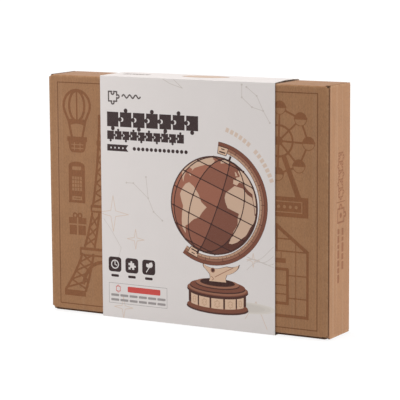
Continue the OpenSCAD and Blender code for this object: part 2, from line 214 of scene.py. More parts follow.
def new_group(name, inputs, outputs):
    """An empty shader node group. Its inputs are (name, socket type, default value)."""
    tree = bpy.data.node_groups.new(name, "ShaderNodeTree")
    for label, kind, value in inputs:
        socket = tree.interface.new_socket(name=label, in_out="INPUT", socket_type=kind)
        if value is not None:
            socket.default_value = value
    for label, kind in outputs:
        tree.interface.new_socket(name=label, in_out="OUTPUT", socket_type=kind)
    return tree, tree.nodes.new("NodeGroupInput"), tree.nodes.new("NodeGroupOutput")


def use_group(tree, group, inputs):
    """A group placed in a material, with its own values."""
    placed = tree.nodes.new("ShaderNodeGroup")
    placed.node_tree = group
    for name, value in inputs.items():
        if isinstance(value, bpy.types.NodeSocket):
            tree.links.new(value, placed.inputs[name])
        else:
            placed.inputs[name].default_value = value
    return placed


print("node helpers ready")

# %% [markdown]
# ## Effects that the papers share
#
# Recycled paper is mottled: cloudy patches a few centimetres wide, fine fibres, and a few
# dark flecks. Corrugated board also shows its flutes through the liner, as faint ridges one
# flute apart. Paper that is handled goes pale along its folds. Each effect is a group, so
# that kraft board, sleeve and card use the same one with their own values.

# %% Paper fibre group
VALUE, VECTOR, COLOUR = "NodeSocketFloat", "NodeSocketVector", "NodeSocketColor"

fibre, fibre_in, fibre_out = new_group(
    "Paper fibre",
    [("Vector", VECTOR, None), ("Cloud", VALUE, 0.06), ("Grain", VALUE, 0.08),
     ("Flecks", VALUE, 0.3)],
    [("Shade", VALUE), ("Height", VALUE)],
)
place = fibre_in.outputs["Vector"]
cloud = add_node(fibre, "ShaderNodeTexNoise", {"Vector": place, "Scale": 45.0, "Detail": 4.0})
long_fibres = add_node(
    fibre, "ShaderNodeMapping",
    {"Vector": place, "Scale": (1.0, 1.0, 0.35), "Rotation": (0.2, 0.1, 0.3)},
)
grain = add_node(
    fibre, "ShaderNodeTexNoise",
    {"Vector": long_fibres.outputs[0], "Scale": 1400.0, "Detail": 3.0, "Roughness": 0.7},
)
fleck_cells = add_node(
    fibre, "ShaderNodeTexVoronoi", {"Vector": long_fibres.outputs[0], "Scale": 420.0}
)
fleck_size = maths(fibre, "LESS_THAN", fleck_cells.outputs["Distance"], 0.16)
fleck_pick = add_node(
    fibre, "ShaderNodeTexNoise", {"Vector": place, "Scale": 160.0, "Detail": 1.0}
).outputs["Fac"]
fleck = maths(fibre, "MULTIPLY", fleck_size, maths(fibre, "GREATER_THAN", fleck_pick, 0.6))
cloud_part = maths(fibre, "MULTIPLY", maths(fibre, "SUBTRACT", cloud.outputs["Fac"], 0.5),
                   fibre_in.outputs["Cloud"])
grain_part = maths(fibre, "MULTIPLY", maths(fibre, "SUBTRACT", grain.outputs["Fac"], 0.5),
                   fibre_in.outputs["Grain"])
fleck_part = maths(fibre, "MULTIPLY", fleck, fibre_in.outputs["Flecks"])
tone = maths(fibre, "SUBTRACT", maths(fibre, "ADD", cloud_part, grain_part), fleck_part)
fibre.links.new(maths(fibre, "ADD", tone, 1.0), fibre_out.inputs["Shade"])
fibre.links.new(grain.outputs["Fac"], fibre_out.inputs["Height"])
print("group", fibre.name, "with", len(fibre.nodes), "nodes")

# %% Flute ridge group
ridge, ridge_in, ridge_out = new_group(
    "Flute ridges",
    [("Across", VALUE, 0.0), ("Pitch", VALUE, 0.0033), ("Wander", VECTOR, None)],
    [("Height", VALUE)],
)
wander = add_node(
    ridge, "ShaderNodeTexNoise",
    {"Vector": ridge_in.outputs["Wander"], "Scale": 12.0, "Detail": 1.0},
).outputs["Fac"]
turns = maths(ridge, "DIVIDE", ridge_in.outputs["Across"], ridge_in.outputs["Pitch"])
wave = maths(ridge, "SINE", maths(ridge, "MULTIPLY", turns, 2 * math.pi))
ridge.links.new(maths(ridge, "MULTIPLY", wave, wander), ridge_out.inputs["Height"])
print("group", ridge.name, "with", len(ridge.nodes), "nodes")

# %% [markdown]
# Rubbed edges lie where two outer faces of the box meet. The group measures how far a point
# is from the nearest of the box's twelve edges: from the distances to the three nearest
# faces, the two smallest ones give it. A noise breaks the mask up, so that the wear isn't a
# ruled stripe.

# %% Edge rub group
rub, rub_in, rub_out = new_group(
    "Edge rub",
    [("Vector", VECTOR, None), ("Centre", VECTOR, None), ("Half Size", VECTOR, None),
     ("Reach", VALUE, 0.003)],
    [("Mask", VALUE)],
)
from_centre = add_node(
    rub, "ShaderNodeVectorMath", {0: rub_in.outputs["Vector"], 1: rub_in.outputs["Centre"]},
    operation="SUBTRACT",
).outputs[0]
outwards = add_node(rub, "ShaderNodeVectorMath", {0: from_centre}, operation="ABSOLUTE").outputs[0]
inset = add_node(
    rub, "ShaderNodeVectorMath", {0: rub_in.outputs["Half Size"], 1: outwards}, operation="SUBTRACT"
).outputs[0]
sides = add_node(rub, "ShaderNodeSeparateXYZ", {0: inset})
squares = [maths(rub, "POWER", maths(rub, "MAXIMUM", sides.outputs[k], 0.0), 2.0) for k in range(3)]
pairs = [maths(rub, "ADD", squares[a], squares[b]) for a, b in ((0, 1), (1, 2), (0, 2))]
smallest = maths(rub, "MINIMUM", maths(rub, "MINIMUM", pairs[0], pairs[1]), pairs[2])
nearest = maths(rub, "SQRT", smallest)
reached = maths(rub, "DIVIDE", nearest, rub_in.outputs["Reach"])
share = maths(rub, "SUBTRACT", 1.0, reached, clamp=True)
patches = add_node(
    rub, "ShaderNodeTexNoise", {"Vector": rub_in.outputs["Vector"], "Scale": 260.0, "Detail": 3.0}
).outputs["Fac"]
broken = maths(rub, "MULTIPLY", maths(rub, "SUBTRACT", patches, 0.35), 2.4, clamp=True)
rub.links.new(maths(rub, "MULTIPLY", share, broken, clamp=True), rub_out.inputs["Mask"])
print("group", rub.name, "with", len(rub.nodes), "nodes")

# %% [markdown]
# ## Materials
#
# Ink on paper filters the light that the paper sends back, so a printed colour is the
# paper's colour times the ink's. The meshes carry the ink as a colour on each face corner,
# named "print": white where nothing is printed. One kraft material and one sleeve material
# can then show any drawing, and the paper's fibre stays visible under the ink.

# %% Helpers for materials
WHITE = (1.0, 1.0, 1.0, 1.0)


def times(tree, colour, factor):
    """A colour socket multiplied by a colour or a value socket."""
    return add_node(
        tree, "ShaderNodeVectorMath", {0: colour, 1: factor}, operation="MULTIPLY"
    ).outputs[0]


def blend_colour(tree, share, first, second):
    """A colour socket between two colours."""
    mix = add_node(tree, "ShaderNodeMix", {"Factor": share}, data_type="RGBA")
    for socket, value in (("A_Color", first), ("B_Color", second)):
        target = next(s for s in mix.inputs if s.identifier == socket)
        if isinstance(value, bpy.types.NodeSocket):
            tree.links.new(value, target)
        else:
            target.default_value = value
    return next(s for s in mix.outputs if s.identifier == "Result_Color")


def new_material(name, roughness, specular):
    """A material with its shader, and the place that its patterns read."""
    material = bpy.data.materials.new(name)
    material.use_nodes = True
    tree = material.node_tree
    shader = tree.nodes["Principled BSDF"]
    shader.inputs["Roughness"].default_value = roughness
    shader.inputs["Specular IOR Level"].default_value = specular
    place = tree.nodes.new("ShaderNodeTexCoord").outputs["Object"]
    return material, tree, shader, place


def finish_material(tree, shader, colour, height, distance, strength=0.5):
    """Links the colour and the bump of a material."""
    tree.links.new(colour, shader.inputs["Base Color"])
    bump = add_node(
        tree, "ShaderNodeBump", {"Height": height, "Distance": distance, "Strength": strength}
    )
    tree.links.new(bump.outputs[0], shader.inputs["Normal"])


print("material helpers ready, bare paper is", WHITE[:3])

# %% Kraft board
BOX_CENTRE = Vector((0.0, (Y_FRONT + Y_BACK) / 2, (Z_LOW + Z_HIGH) / 2)) * MM
BOX_HALF = Vector((X_OUT, (Y_BACK - Y_FRONT) / 2, (Z_HIGH - Z_LOW) / 2)) * MM
FLUTE_PITCH = 3.3
KRAFT = (0.288, 0.142, 0.064, 1.0)
KRAFT_INSIDE = (0.29, 0.15, 0.075, 1.0)
KRAFT_RUBBED = (0.50, 0.32, 0.18, 1.0)
KRAFT_STREAK = (0.47, 0.36, 0.27, 1.0)


def kraft_material(name, across, colour, printed=False, face=None, streak_share=0.05):
    """Brown corrugated board, whose flutes lie side by side along the axis across.

    Where face is given, the board is a plain solid that faces that axis, and its other
    faces are cut edges."""
    material, tree, shader, place = new_material(name, roughness=0.66, specular=0.28)
    shader.inputs["Sheen Weight"].default_value = 0.11
    shader.inputs["Sheen Roughness"].default_value = 0.35
    paper = use_group(tree, fibre, {"Vector": place, "Cloud": 0.22, "Grain": 0.9, "Flecks": 0.22})
    axes = add_node(tree, "ShaderNodeSeparateXYZ", {0: place})
    ridges = use_group(
        tree, ridge, {"Across": axes.outputs[across], "Pitch": FLUTE_PITCH * MM, "Wander": place}
    )
    rubbed = use_group(
        tree, rub, {"Vector": place, "Centre": BOX_CENTRE, "Half Size": BOX_HALF, "Reach": 0.0032}
    )
    paleness = maths(tree, "MULTIPLY", rubbed.outputs["Mask"], 0.4)
    board = blend_colour(tree, paleness, colour, KRAFT_RUBBED)
    stretched = add_node(tree, "ShaderNodeCombineXYZ", {
        0: maths(tree, "MULTIPLY", axes.outputs[across], 190.0),
        1: maths(tree, "MULTIPLY", axes.outputs["Z"], 3.5),
    })
    streaks = add_node(
        tree, "ShaderNodeTexNoise", {"Vector": stretched.outputs[0], "Scale": 1.0, "Detail": 1.5}
    )
    pale = add_node(
        tree, "ShaderNodeMapRange",
        {"Value": streaks.outputs["Fac"], "From Min": 0.52, "From Max": 0.68,
         "To Max": streak_share},
    )
    board = blend_colour(tree, pale.outputs["Result"], board, KRAFT_STREAK)
    # The ridges also shift the colour a little: painted light and shade of the washboard, besides
    # its bump.
    lines = maths(tree, "ADD", maths(tree, "MULTIPLY", ridges.outputs["Height"], 0.035), 1.0)
    board = times(tree, board, times(tree, paper.outputs["Shade"], lines))
    if printed:
        ink = add_node(tree, "ShaderNodeAttribute", attribute_name="print").outputs["Color"]
        worn = maths(tree, "MULTIPLY", rubbed.outputs["Mask"], 0.6)
        board = times(tree, board, blend_colour(tree, worn, ink, WHITE))
    if face:
        normal = add_node(
            tree, "ShaderNodeSeparateXYZ", {0: tree.nodes["Texture Coordinate"].outputs["Normal"]}
        )
        # Cut edges get painted shade, in stripes one flute apart, for the hollows of the flutes.
        edge = maths(tree, "LESS_THAN", maths(tree, "ABSOLUTE", normal.outputs[face]), 0.5)
        painted_flute_shade = maths(tree, "ADD", maths(tree, "MULTIPLY", ridges.outputs["Height"], 0.8), 0.55)
        board = blend_colour(tree, edge, board, times(tree, board, painted_flute_shade))
    height = maths(
        tree, "ADD", maths(tree, "MULTIPLY", paper.outputs["Height"], 0.12),
        maths(tree, "MULTIPLY", ridges.outputs["Height"], 0.5),
    )
    finish_material(tree, shader, board, height, 0.00012)
    return material


kraft_x = kraft_material("kraft_board_printed", "X", KRAFT, printed=True)
kraft_y = kraft_material("kraft_board_end_wall", "Y", KRAFT, printed=True, streak_share=0.12)
print("kraft materials", kraft_x.name, kraft_y.name)

# %% [markdown]
# The cut edges and the fluting are the same pulp without the smooth, pressed surface, and
# their fibres stand up. Their colours are also made much darker than the liner's face, as
# painted shade for the light that gets lost between the liners.

# %% Raw edges and fluting
def raw_paper(name, colour, grain_share, distance):
    """Paper seen on its cut edge, or paper that was never pressed smooth."""
    material, tree, shader, place = new_material(name, roughness=0.95, specular=0.1)
    paper = use_group(
        tree, fibre, {"Vector": place, "Cloud": 0.2, "Grain": grain_share, "Flecks": 0.1}
    )
    ply = add_node(
        tree, "ShaderNodeTexNoise", {"Vector": place, "Scale": 2600.0, "Detail": 2.0}
    ).outputs["Fac"]
    tone = maths(tree, "MULTIPLY", paper.outputs["Shade"], maths(tree, "ADD", ply, 0.5))
    finish_material(tree, shader, times(tree, colour_socket(tree, colour), tone), ply, distance)
    return material


def colour_socket(tree, colour):
    """A fixed colour as a socket, so that a pattern can be multiplied into it."""
    node = tree.nodes.new("ShaderNodeRGB")
    node.outputs[0].default_value = colour
    return node.outputs[0]


# Painted shade: both colours are far darker than the kraft liner, for the shadow inside the flutes.
shaded_kraft_edge = raw_paper("kraft_cut_edge_painted_shade", (0.10, 0.048, 0.028, 1.0), 0.7, 0.0002)
shaded_flute_paper = raw_paper("shaded_flute_paper", (0.20, 0.105, 0.055, 1.0), 0.5, 0.0002)
sleeve_edge = raw_paper("sleeve_cut_edge", (0.62, 0.58, 0.53, 1.0), 0.3, 0.00005)
print("raw papers", shaded_kraft_edge.name, shaded_flute_paper.name, sleeve_edge.name)

# %% [markdown]
# The sleeve is coated white board. Its surface is far smoother than kraft: the fibre hardly
# shows, the lacquer gives a soft shine, and only the folds are slightly rubbed and grey.

# %% Sleeve paper
SLEEVE_CENTRE = Vector(((SLEEVE_X0 + SLEEVE_X1) / 2, 0.0, Z_SLEEVE / 2)) * MM
SLEEVE_HALF = Vector(((SLEEVE_X1 - SLEEVE_X0) / 2, Y_SLEEVE, Z_SLEEVE / 2)) * MM
PAPER_WHITE = (0.645, 0.60, 0.582, 1.0)


def sleeve_material():
    """White coated board with a printed picture."""
    material, tree, shader, place = new_material("sleeve_printed_board", 0.48, 0.2)
    paper = use_group(tree, fibre, {"Vector": place, "Cloud": 0.035, "Grain": 0.05, "Flecks": 0.0})
    rubbed = use_group(
        tree, rub,
        {"Vector": place, "Centre": SLEEVE_CENTRE, "Half Size": SLEEVE_HALF, "Reach": 0.0016},
    )
    ink = add_node(tree, "ShaderNodeAttribute", attribute_name="print").outputs["Color"]
    dots = add_node(
        tree, "ShaderNodeTexNoise", {"Vector": place, "Scale": 3200.0, "Detail": 1.0}
    ).outputs["Fac"]
    gap = maths(tree, "MULTIPLY", maths(tree, "SUBTRACT", dots, 0.5, clamp=True), 0.25)
    screened = blend_colour(tree, gap, ink, WHITE)
    blank = times(tree, colour_socket(tree, PAPER_WHITE), paper.outputs["Shade"])
    board = times(tree, blank, screened)
    worn = maths(tree, "MULTIPLY", rubbed.outputs["Mask"], 0.45)
    board = blend_colour(tree, worn, board, (0.60, 0.565, 0.54, 1.0))
    tree.links.new(
        maths(tree, "ADD", 0.44, maths(tree, "MULTIPLY", paper.outputs["Height"], 0.12)),
        shader.inputs["Roughness"],
    )
    finish_material(tree, shader, board, paper.outputs["Height"], 0.00002, 0.35)
    return material


sleeve_paper = sleeve_material()
print("sleeve material", sleeve_paper.name)

# %% [markdown]
# ## Printing plates
#
# A print is a stack of flat shapes: discs, bars, lines and outlines, each with its ink. A
# plate collects them in millimetres, from the lower left corner of the box. The ink of a
# shape is what light it lets through, and a later shape covers an earlier one, as a second
# pass of the press would.

# %% Colours of the inks
def linear(*levels):
    """A colour given as 0 to 255 on a screen, as the linear numbers that shaders use."""
    return np.array([((v / 255 + 0.055) / 1.055) ** 2.4 for v in levels])


PAPER_LOOK = linear(215, 208, 205)


def ink(*levels):
    """The ink that makes white paper look like this screen colour."""
    return tuple(np.minimum(linear(*levels) / PAPER_LOOK, 1.0))


BARE = (1.0, 1.0, 1.0)
BROWN_INK = (0.70, 0.53, 0.41)
DARK_BROWN_INK = (0.56, 0.42, 0.33)
RUST_INK = (0.70, 0.49, 0.35)
# Painted shade: the ink of the darker strip along the front fold of each end wall.
CREASE_SHADE_INK = (0.50, 0.40, 0.34)
DARK = ink(50, 32, 32)
OCEAN_LIGHT = np.array(ink(158, 99, 77))
OCEAN_DARK = np.array(ink(82, 40, 28))
LAND = np.array(ink(202, 170, 146))
GRID = ink(56, 24, 17)
CREAM = ink(207, 174, 148)
TAN = ink(178, 140, 114)
WALNUT = ink(118, 68, 50)
WALNUT_DARK = ink(72, 38, 29)
WALNUT_MID = ink(146, 98, 76)
FAINT = ink(194, 184, 178)
FAINT_TAN = ink(206, 184, 168)
GREY = ink(150, 143, 141)
GREY_BROWN = ink(88, 78, 76)
RED = ink(196, 72, 66)
print("brown ink passes", BROWN_INK, "of the light that kraft sends back")

# %% Printing plate
class Plate:
    """Flat shapes with their inks, in millimetres."""

    def __init__(self, origin, turned=False):
        self.origin = np.array(origin, float)
        self.axes = np.array([[0.0, -1.0], [1.0, 0.0]]) if turned else np.eye(2)
        self.shapes = []

    def area(self, points, colour):
        """A filled outline."""
        points = np.array(points, float) @ self.axes
        nxt = np.roll(points, -1, axis=0)
        turn = np.sum(points[:, 0] * nxt[:, 1] - nxt[:, 0] * points[:, 1])
        if turn < 0:
            points = points[::-1]
        self.shapes.append((points + self.origin, tuple(colour)))

    def arc(self, centre, inner, outer, start, stop, colour, steps=24):
        """Part of a ring, from the angle start to the angle stop, in degrees."""
        angles = np.radians(np.linspace(start, stop, steps + 1))
        rim = np.column_stack([np.cos(angles), np.sin(angles)])
        self.area(np.vstack([rim * outer, rim[::-1] * inner]) + centre, colour)

    def ring(self, centre, inner, outer, colour, steps=20):
        """A whole ring, as two halves, because an outline has no hole."""
        self.arc(centre, inner, outer, 0, 180, colour, steps)
        self.arc(centre, inner, outer, 180, 360, colour, steps)

    def disc(self, centre, radius, colour, flat=1.0, steps=32):
        """A disc, or an ellipse whose height is flat times its width."""
        angles = np.arange(steps) * 2 * math.pi / steps
        rim = np.column_stack([np.cos(angles), flat * np.sin(angles)])
        self.area(rim * radius + centre, colour)

    def bar(self, low, high, colour, corner=0.0):
        """A rectangle between two corners, with rounded corners if corner isn't 0."""
        (x0, z0), (x1, z1) = low, high
        if not corner:
            return self.area([(x0, z0), (x1, z0), (x1, z1), (x0, z1)], colour)
        points = []
        for x, z, start in (
            (x1 - corner, z1 - corner, 0), (x0 + corner, z1 - corner, 90),
            (x0 + corner, z0 + corner, 180), (x1 - corner, z0 + corner, 270),
        ):
            for a in np.radians(np.linspace(start, start + 90, 5)):
                points.append((x + corner * math.cos(a), z + corner * math.sin(a)))
        return self.area(points, colour)

    def line(self, points, width, colour, closed=False):
        """A drawn line: one thin strip for each straight stretch, overlapping at its ends."""
        points = [np.array(p, float) for p in points]
        ends = points[1:] + points[:1] if closed else points[1:]
        for a, b in zip(points, ends):
            length = np.linalg.norm(b - a)
            if length < 1e-6:
                continue
            along = (b - a) / length
            side = np.array([-along[1], along[0]]) * width / 2
            a, b = a - along * width * 0.3, b + along * width * 0.3
            self.area([a - side, b - side, b + side, a + side], colour)

    def frame(self, low, high, width, colour):
        """A thin rectangle."""
        (x0, z0), (x1, z1) = low, high
        self.line([(x0, z0), (x1, z0), (x1, z1), (x0, z1)], width, colour, closed=True)


def direction(angle):
    """The unit step at an angle in degrees."""
    return np.array([math.cos(math.radians(angle)), math.sin(math.radians(angle))])


def bend(p0, p1, p2, steps=8):
    """Points on a smooth curve from p0 to p2, pulled towards p1."""
    p0, p1, p2 = (np.array(p, float) for p in (p0, p1, p2))
    t = np.linspace(0, 1, steps + 1)[:, None]
    return (1 - t) ** 2 * p0 + 2 * t * (1 - t) * p1 + t * t * p2


def count_shapes(draw):
    """How many shapes a drawing puts on an empty plate."""
    plate = Plate((0.0, 0.0))
    draw(plate)
    return len(plate.shapes)


ring_shapes = count_shapes(lambda plate: plate.ring((0, 0), 4, 5, BARE))
print("plate ready, a ring takes", ring_shapes, "shapes")

# %% [markdown]
# ## Folded board
#
# A carton is drawn flat, printed flat, cut and then folded, and its mesh can be made in the
# same order. A drawing gives the outline, the slots and the print of one panel, in
# millimetres along and across the board. Blender's Delaunay triangulation cuts the outline
# along every edge of the print and says which shapes cover each triangle. The corners are
# then carried round the creases, once for each face of the board, and the rim is closed.

# %% Fold path
class FoldPath:
    """A strip seen from its end: straight stretches, and creases that turn to the right."""

    def __init__(self, start, heading, steps):
        self.starts, self.parts = [0.0], []
        point, angle = np.array(start, float), math.radians(heading)
        for kind, *sizes in steps:
            ahead = np.array([math.cos(angle), math.sin(angle)])
            outward = np.array([-ahead[1], ahead[0]])
            if kind == "flat":
                length = sizes[0]
                self.parts.append((kind, point, ahead, outward, length, 0.0, 0.0))
                point = point + ahead * length
            else:
                turn, radius = math.radians(sizes[0]), sizes[1]
                centre = point - outward * radius
                length = turn * radius
                self.parts.append((kind, centre, ahead, outward, length, turn, radius))
                angle -= turn
                point = centre + radius * np.array([-math.sin(angle), math.cos(angle)])
            self.starts.append(self.starts[-1] + length)

    def place(self, s, depth):
        """Where a point lies that is s along the strip, and depth outside its outer face."""
        k = 0
        while k < len(self.parts) - 1 and s > self.starts[k + 1]:
            k += 1
        kind, base, ahead, outward, length, turn, radius = self.parts[k]
        run = s - self.starts[k]
        if kind == "flat":
            return base + ahead * run + outward * depth
        angle = turn * run / length
        normal = outward * math.cos(angle) + ahead * math.sin(angle)
        return base + normal * (radius + depth)

    def creases(self, facets):
        """Distances along the strip where its mesh needs an edge."""
        cuts = []
        for k, part in enumerate(self.parts):
            if part[0] == "fold":
                cuts += list(np.linspace(self.starts[k], self.starts[k + 1], facets + 1))
        return cuts


right_angle = FoldPath((0.0, 0.0), 0, [("fold", 90, 2.0)])
print("a right-angle fold of 2 mm radius uses", round(right_angle.starts[1], 2), "mm of board")

# %% Sheet of board
def cut_sheet(outline, cuts, shapes, holes):
    """Triangles of a flat drawing, with the last shape that covers each one."""
    points, edges, faces = [], [], []
    for loop in [outline, *holes, *(shape for shape, colour in shapes)]:
        first = len(points)
        points += [Vector(p) for p in loop]
        faces.append(list(range(first, len(points))))
    low, high = np.min(outline, axis=0), np.max(outline, axis=0)
    for axis, value in cuts:
        first = len(points)
        ends = [low.copy(), high.copy()]
        for end in ends:
            end[axis] = value
        points += [Vector(end) for end in ends]
        edges.append((first, first + 1))
    flat, _, triangles, _, _, covers = delaunay_2d_cdt(points, edges, faces, 0, 1e-4, True)
    kept, tops = [], []
    for triangle, cover in zip(triangles, covers):
        if 0 in cover and not any(1 <= c <= len(holes) for c in cover):
            kept.append(triangle)
            tops.append(max(cover))
    return [tuple(p) for p in flat], kept, tops


def rectangle(u0, u1, s0, s1):
    """The outline of a panel without steps."""
    return [(u0, s0), (u1, s0), (u1, s1), (u0, s1)]


plain = cut_sheet(rectangle(0, 3, 0, 2), [], [], [])
print("a plain panel is cut into", len(plain[1]), "triangles")

# %% Folding a sheet
CREASE_FACETS = 8


def folded_sheet(path, across, outline, depths, shapes=(), holes=(), cuts=(), swell=None):
    """One layer of board: corners, faces, the slot of each face and the ink of each face."""
    drawn = [(1, s) for s in path.creases(CREASE_FACETS)] + list(cuts)
    flat, triangles, tops = cut_sheet(outline, drawn, list(shapes), list(holes))
    outer, inner = depths
    corners, faces, slots, inks = [], [], [], []
    for depth in (outer, inner):
        for u, s in flat:
            proud = swell(u, s) if swell else 0.0
            corners.append(across(u, *path.place(s, depth + proud)))
    count = len(flat)
    rim = {}
    for triangle, top in zip(triangles, tops):
        colour = shapes[top - 1 - len(holes)][1] if top > len(holes) else BARE
        faces.append(tuple(triangle))
        faces.append(tuple(v + count for v in reversed(triangle)))
        slots += [0, 1]
        inks += [colour, BARE]
        for a, b in zip(triangle, triangle[1:] + triangle[:1]):
            if not rim.pop((b, a), None):
                rim[a, b] = True
    for a, b in rim:
        faces.append((b, a, a + count, b + count))
        slots.append(1)
        inks.append(BARE)
    return corners, faces, slots, inks


print("each crease is folded in", CREASE_FACETS, "facets")

# %% Directions of the folds
def front_to_back(u, p, q):
    """Panels that fold about the long direction: u runs along X, the strip in Y and Z."""
    return (u, p, q)


def round_the_end(u, p, q):
    """Panels that fold about the upright direction: u runs up Z, the strip in X and Y."""
    return (p, q, u)


def over_the_end(u, p, q):
    """Panels that fold about the depth: u runs against Y, the strip in X and Z."""
    return (p, -u, q)


Z_MID = (Z_LOW + Z_HIGH) / 2


def mirrored(sheet, x=False, z=False):
    """The same sheet on the left, or at the bottom, with its faces still outwards."""
    corners, faces, slots, inks = sheet
    corners = [(-c[0] if x else c[0], c[1], 2 * Z_MID - c[2] if z else c[2]) for c in corners]
    if x != z:
        faces = [tuple(reversed(face)) for face in faces]
    return corners, faces, slots, inks


for fold in (front_to_back, round_the_end, over_the_end):
    print(fold.__name__, "puts the point u 1, p 2, q 3 at", fold(1, 2, 3))

# %% [markdown]
# A finished piece joins its folded sheets in one mesh and says three things: which body it
# rides on, what it is made of, and which parts of the model it stands for. Its place is in
# its mesh and its object stays at the origin, so that patterns on object coordinates run on
# from one panel to the next.

# %% Pieces
def make_piece(name, sheets, materials, body, stands_for=()):
    """One mesh object from folded sheets, in metres, riding on its body."""
    corners, faces, slots, inks = [], [], [], []
    for sheet in sheets:
        first = len(corners)
        corners += sheet[0]
        faces += [tuple(v + first for v in face) for face in sheet[1]]
        slots += sheet[2]
        inks += sheet[3]
    mesh = bpy.data.meshes.new(name)
    mesh.from_pydata([Vector(c) * MM for c in corners], [], faces)
    for material in materials:
        mesh.materials.append(material)
    mesh.polygons.foreach_set("material_index", slots)
    mesh.polygons.foreach_set("use_smooth", [True] * len(faces))
    layer = mesh.color_attributes.new("print", "FLOAT_COLOR", "CORNER")
    values = [v for face, colour in zip(faces, inks) for _ in face for v in (*colour, 1.0)]
    layer.data.foreach_set("color", values)
    mesh.set_sharp_from_angle(angle=math.radians(30))
    mesh.validate()
    piece = bpy.data.objects.new(name, mesh)
    scene.collection.objects.link(piece)
    finish_piece(piece, body, stands_for)
    return piece


def finish_piece(piece, body, stands_for=()):
    """Says what a piece rides on and what it stands for."""
    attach(piece, body)
    if stands_for:
        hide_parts(*stands_for)
    piece.data.calc_loop_triangles()
    print(piece.name, len(piece.data.loop_triangles), "triangles")


print("pieces are made in metres, 1 mm is", MM)

# %% [markdown]
# ## The drawing on the kraft lid
#
# The lid carries line drawings in one brown ink: a balloon, a call box, a present, a lattice
# tower, a big wheel and a glasshouse, in a thin frame. Each is a short function that draws
# with a few curves, because a line drawing is made of strokes of one width. Part of it hides
# under the sleeve, and shows when the sleeve slides off.

# %% Plate of the lid
BOARD, CREASE, LINER = 1.6, 0.4, 0.3
FOLD = BOARD + CREASE
HALF_FOLD = FOLD * math.sqrt(0.5)
LAYER_GAP = 0.1
LID_CLEARANCE = 0.3
LID_FOOT = Z_LOW + BOARD + LAYER_GAP + FOLD
lid_path = FoldPath(
    (Y_FRONT + FOLD - HALF_FOLD, LID_FOOT - HALF_FOLD), 135,
    [("fold", 45, FOLD), ("flat", Z_HIGH - FOLD - LID_FOOT), ("fold", 45, FOLD)],
)
lid_art = Plate((-X_OUT, lid_path.starts[1] + Z_LOW - LID_FOOT))
lid_art.frame((10, 7.6), (300.6, 232.6), 1.0, DARK_BROWN_INK)
print("the lid's plate is", 2 * X_OUT, "mm wide and", Z_HIGH - Z_LOW, "mm high")

# %% Balloon
BOLD, STROKE, FINE = 2.7, 1.9, 0.9


def balloon(plate, u, z):
    """A hot-air balloon whose envelope is centred at u, z, with its basket below."""
    radius = 15.6
    plate.arc((u, z), radius - 1.4, radius + 1.4, -40, 220, BROWN_INK, 30)
    plate.line([(u, z + radius), (u, z - 14)], STROKE, BROWN_INK)
    for side in (-1, 1):
        arc = np.radians(np.linspace(0, 155, 15))
        gore = [(u + side * 9.0 * math.sin(a), z + 15.0 * math.cos(a)) for a in arc]
        plate.line(gore, BOLD, BROWN_INK)
        shoulder = bend(
            (u + side * 12.8, z - 9.4), (u + side * 9.6, z - 15), (u + side * 8.9, z - 20), 4
        )
        plate.line(list(shoulder) + [(u + side * 6.4, z - 31)], BOLD, BROWN_INK)
        hem = [(u + side * 7.6, z - 18.4), (u + side * 3, z - 17.2), (u, z - 17.0)]
        plate.line(hem, STROKE, BROWN_INK)
    skirt = [(u - 10.8, z - 13.4), (u + 10.8, z - 13.4), (u + 9.8, z - 17.6), (u - 9.8, z - 17.6)]
    plate.area(skirt, BROWN_INK)
    plate.bar((u - 12, z - 36), (u + 12, z - 31), BROWN_INK, 0.8)
    basket = [(u + 10.6, z - 36), (u + 9.6, z - 43)]
    basket += list(bend((u + 9.6, z - 43), (u + 8.6, z - 47), (u + 4, z - 47), 5))
    plate.area(basket + [(2 * u - x, h) for x, h in reversed(basket)], BROWN_INK)
    for h in (z - 39, z - 42.8):
        plate.line([(u - 7, h), (u + 7, h)], FINE, BARE)
    for side in (-1, 1):
        plate.line([(u + side * 3.3, z - 37), (u + side * 3.3, z - 44.6)], FINE, BARE)


balloon(lid_art, 32.7, 209.6)
print("with the balloon the lid has", len(lid_art.shapes), "shapes")

# %% Call box and present
def call_box(plate, u, z):
    """A call box with a rounded top. Its foot is centred at u, z."""
    plate.bar((u - 9.8, z), (u + 9.8, z + 37.5), BROWN_INK)
    plate.disc((u, z + 37.4), 9.6, BROWN_INK, 0.46, 28)
    plate.bar((u - 5.4, z + 33.2), (u + 5.4, z + 36.8), BARE, 0.8)
    for column in range(4):
        for row in range(4):
            x, h = u - 5.7 + 3.1 * column, z + 12.2 + 3.8 * row
            plate.bar((x, h), (x + 2.3, h + 3.0), BARE)
    plate.bar((u - 5.8, z + 2.8), (u + 5.8, z + 6.6), BARE)
    plate.bar((u - 4.2, z + 4.2), (u + 4.2, z + 5.2), BROWN_INK)


def present(plate, u, z):
    """A present with a ribbon and a bow. Its foot is centred at u, z."""
    for side in (-1, 1):
        for low, high, reach in ((0, 9.8, 9.8), (11.2, 17.6, 10.5)):
            x0, x1 = sorted((u + side * 0.8, u + side * reach))
            plate.bar((x0, z + low), (x1, z + high), BROWN_INK)
        loop = [(u + side * (2.9 + 2.2 * math.cos(a)), z + 19.6 + 2.3 * math.sin(a))
                for a in np.linspace(0, 2 * math.pi, 13)]
        plate.line(loop, STROKE, BROWN_INK)


call_box(lid_art, 31.6, 111.6)
present(lid_art, 31.8, 79)
print("with the call box and the present it has", len(lid_art.shapes))

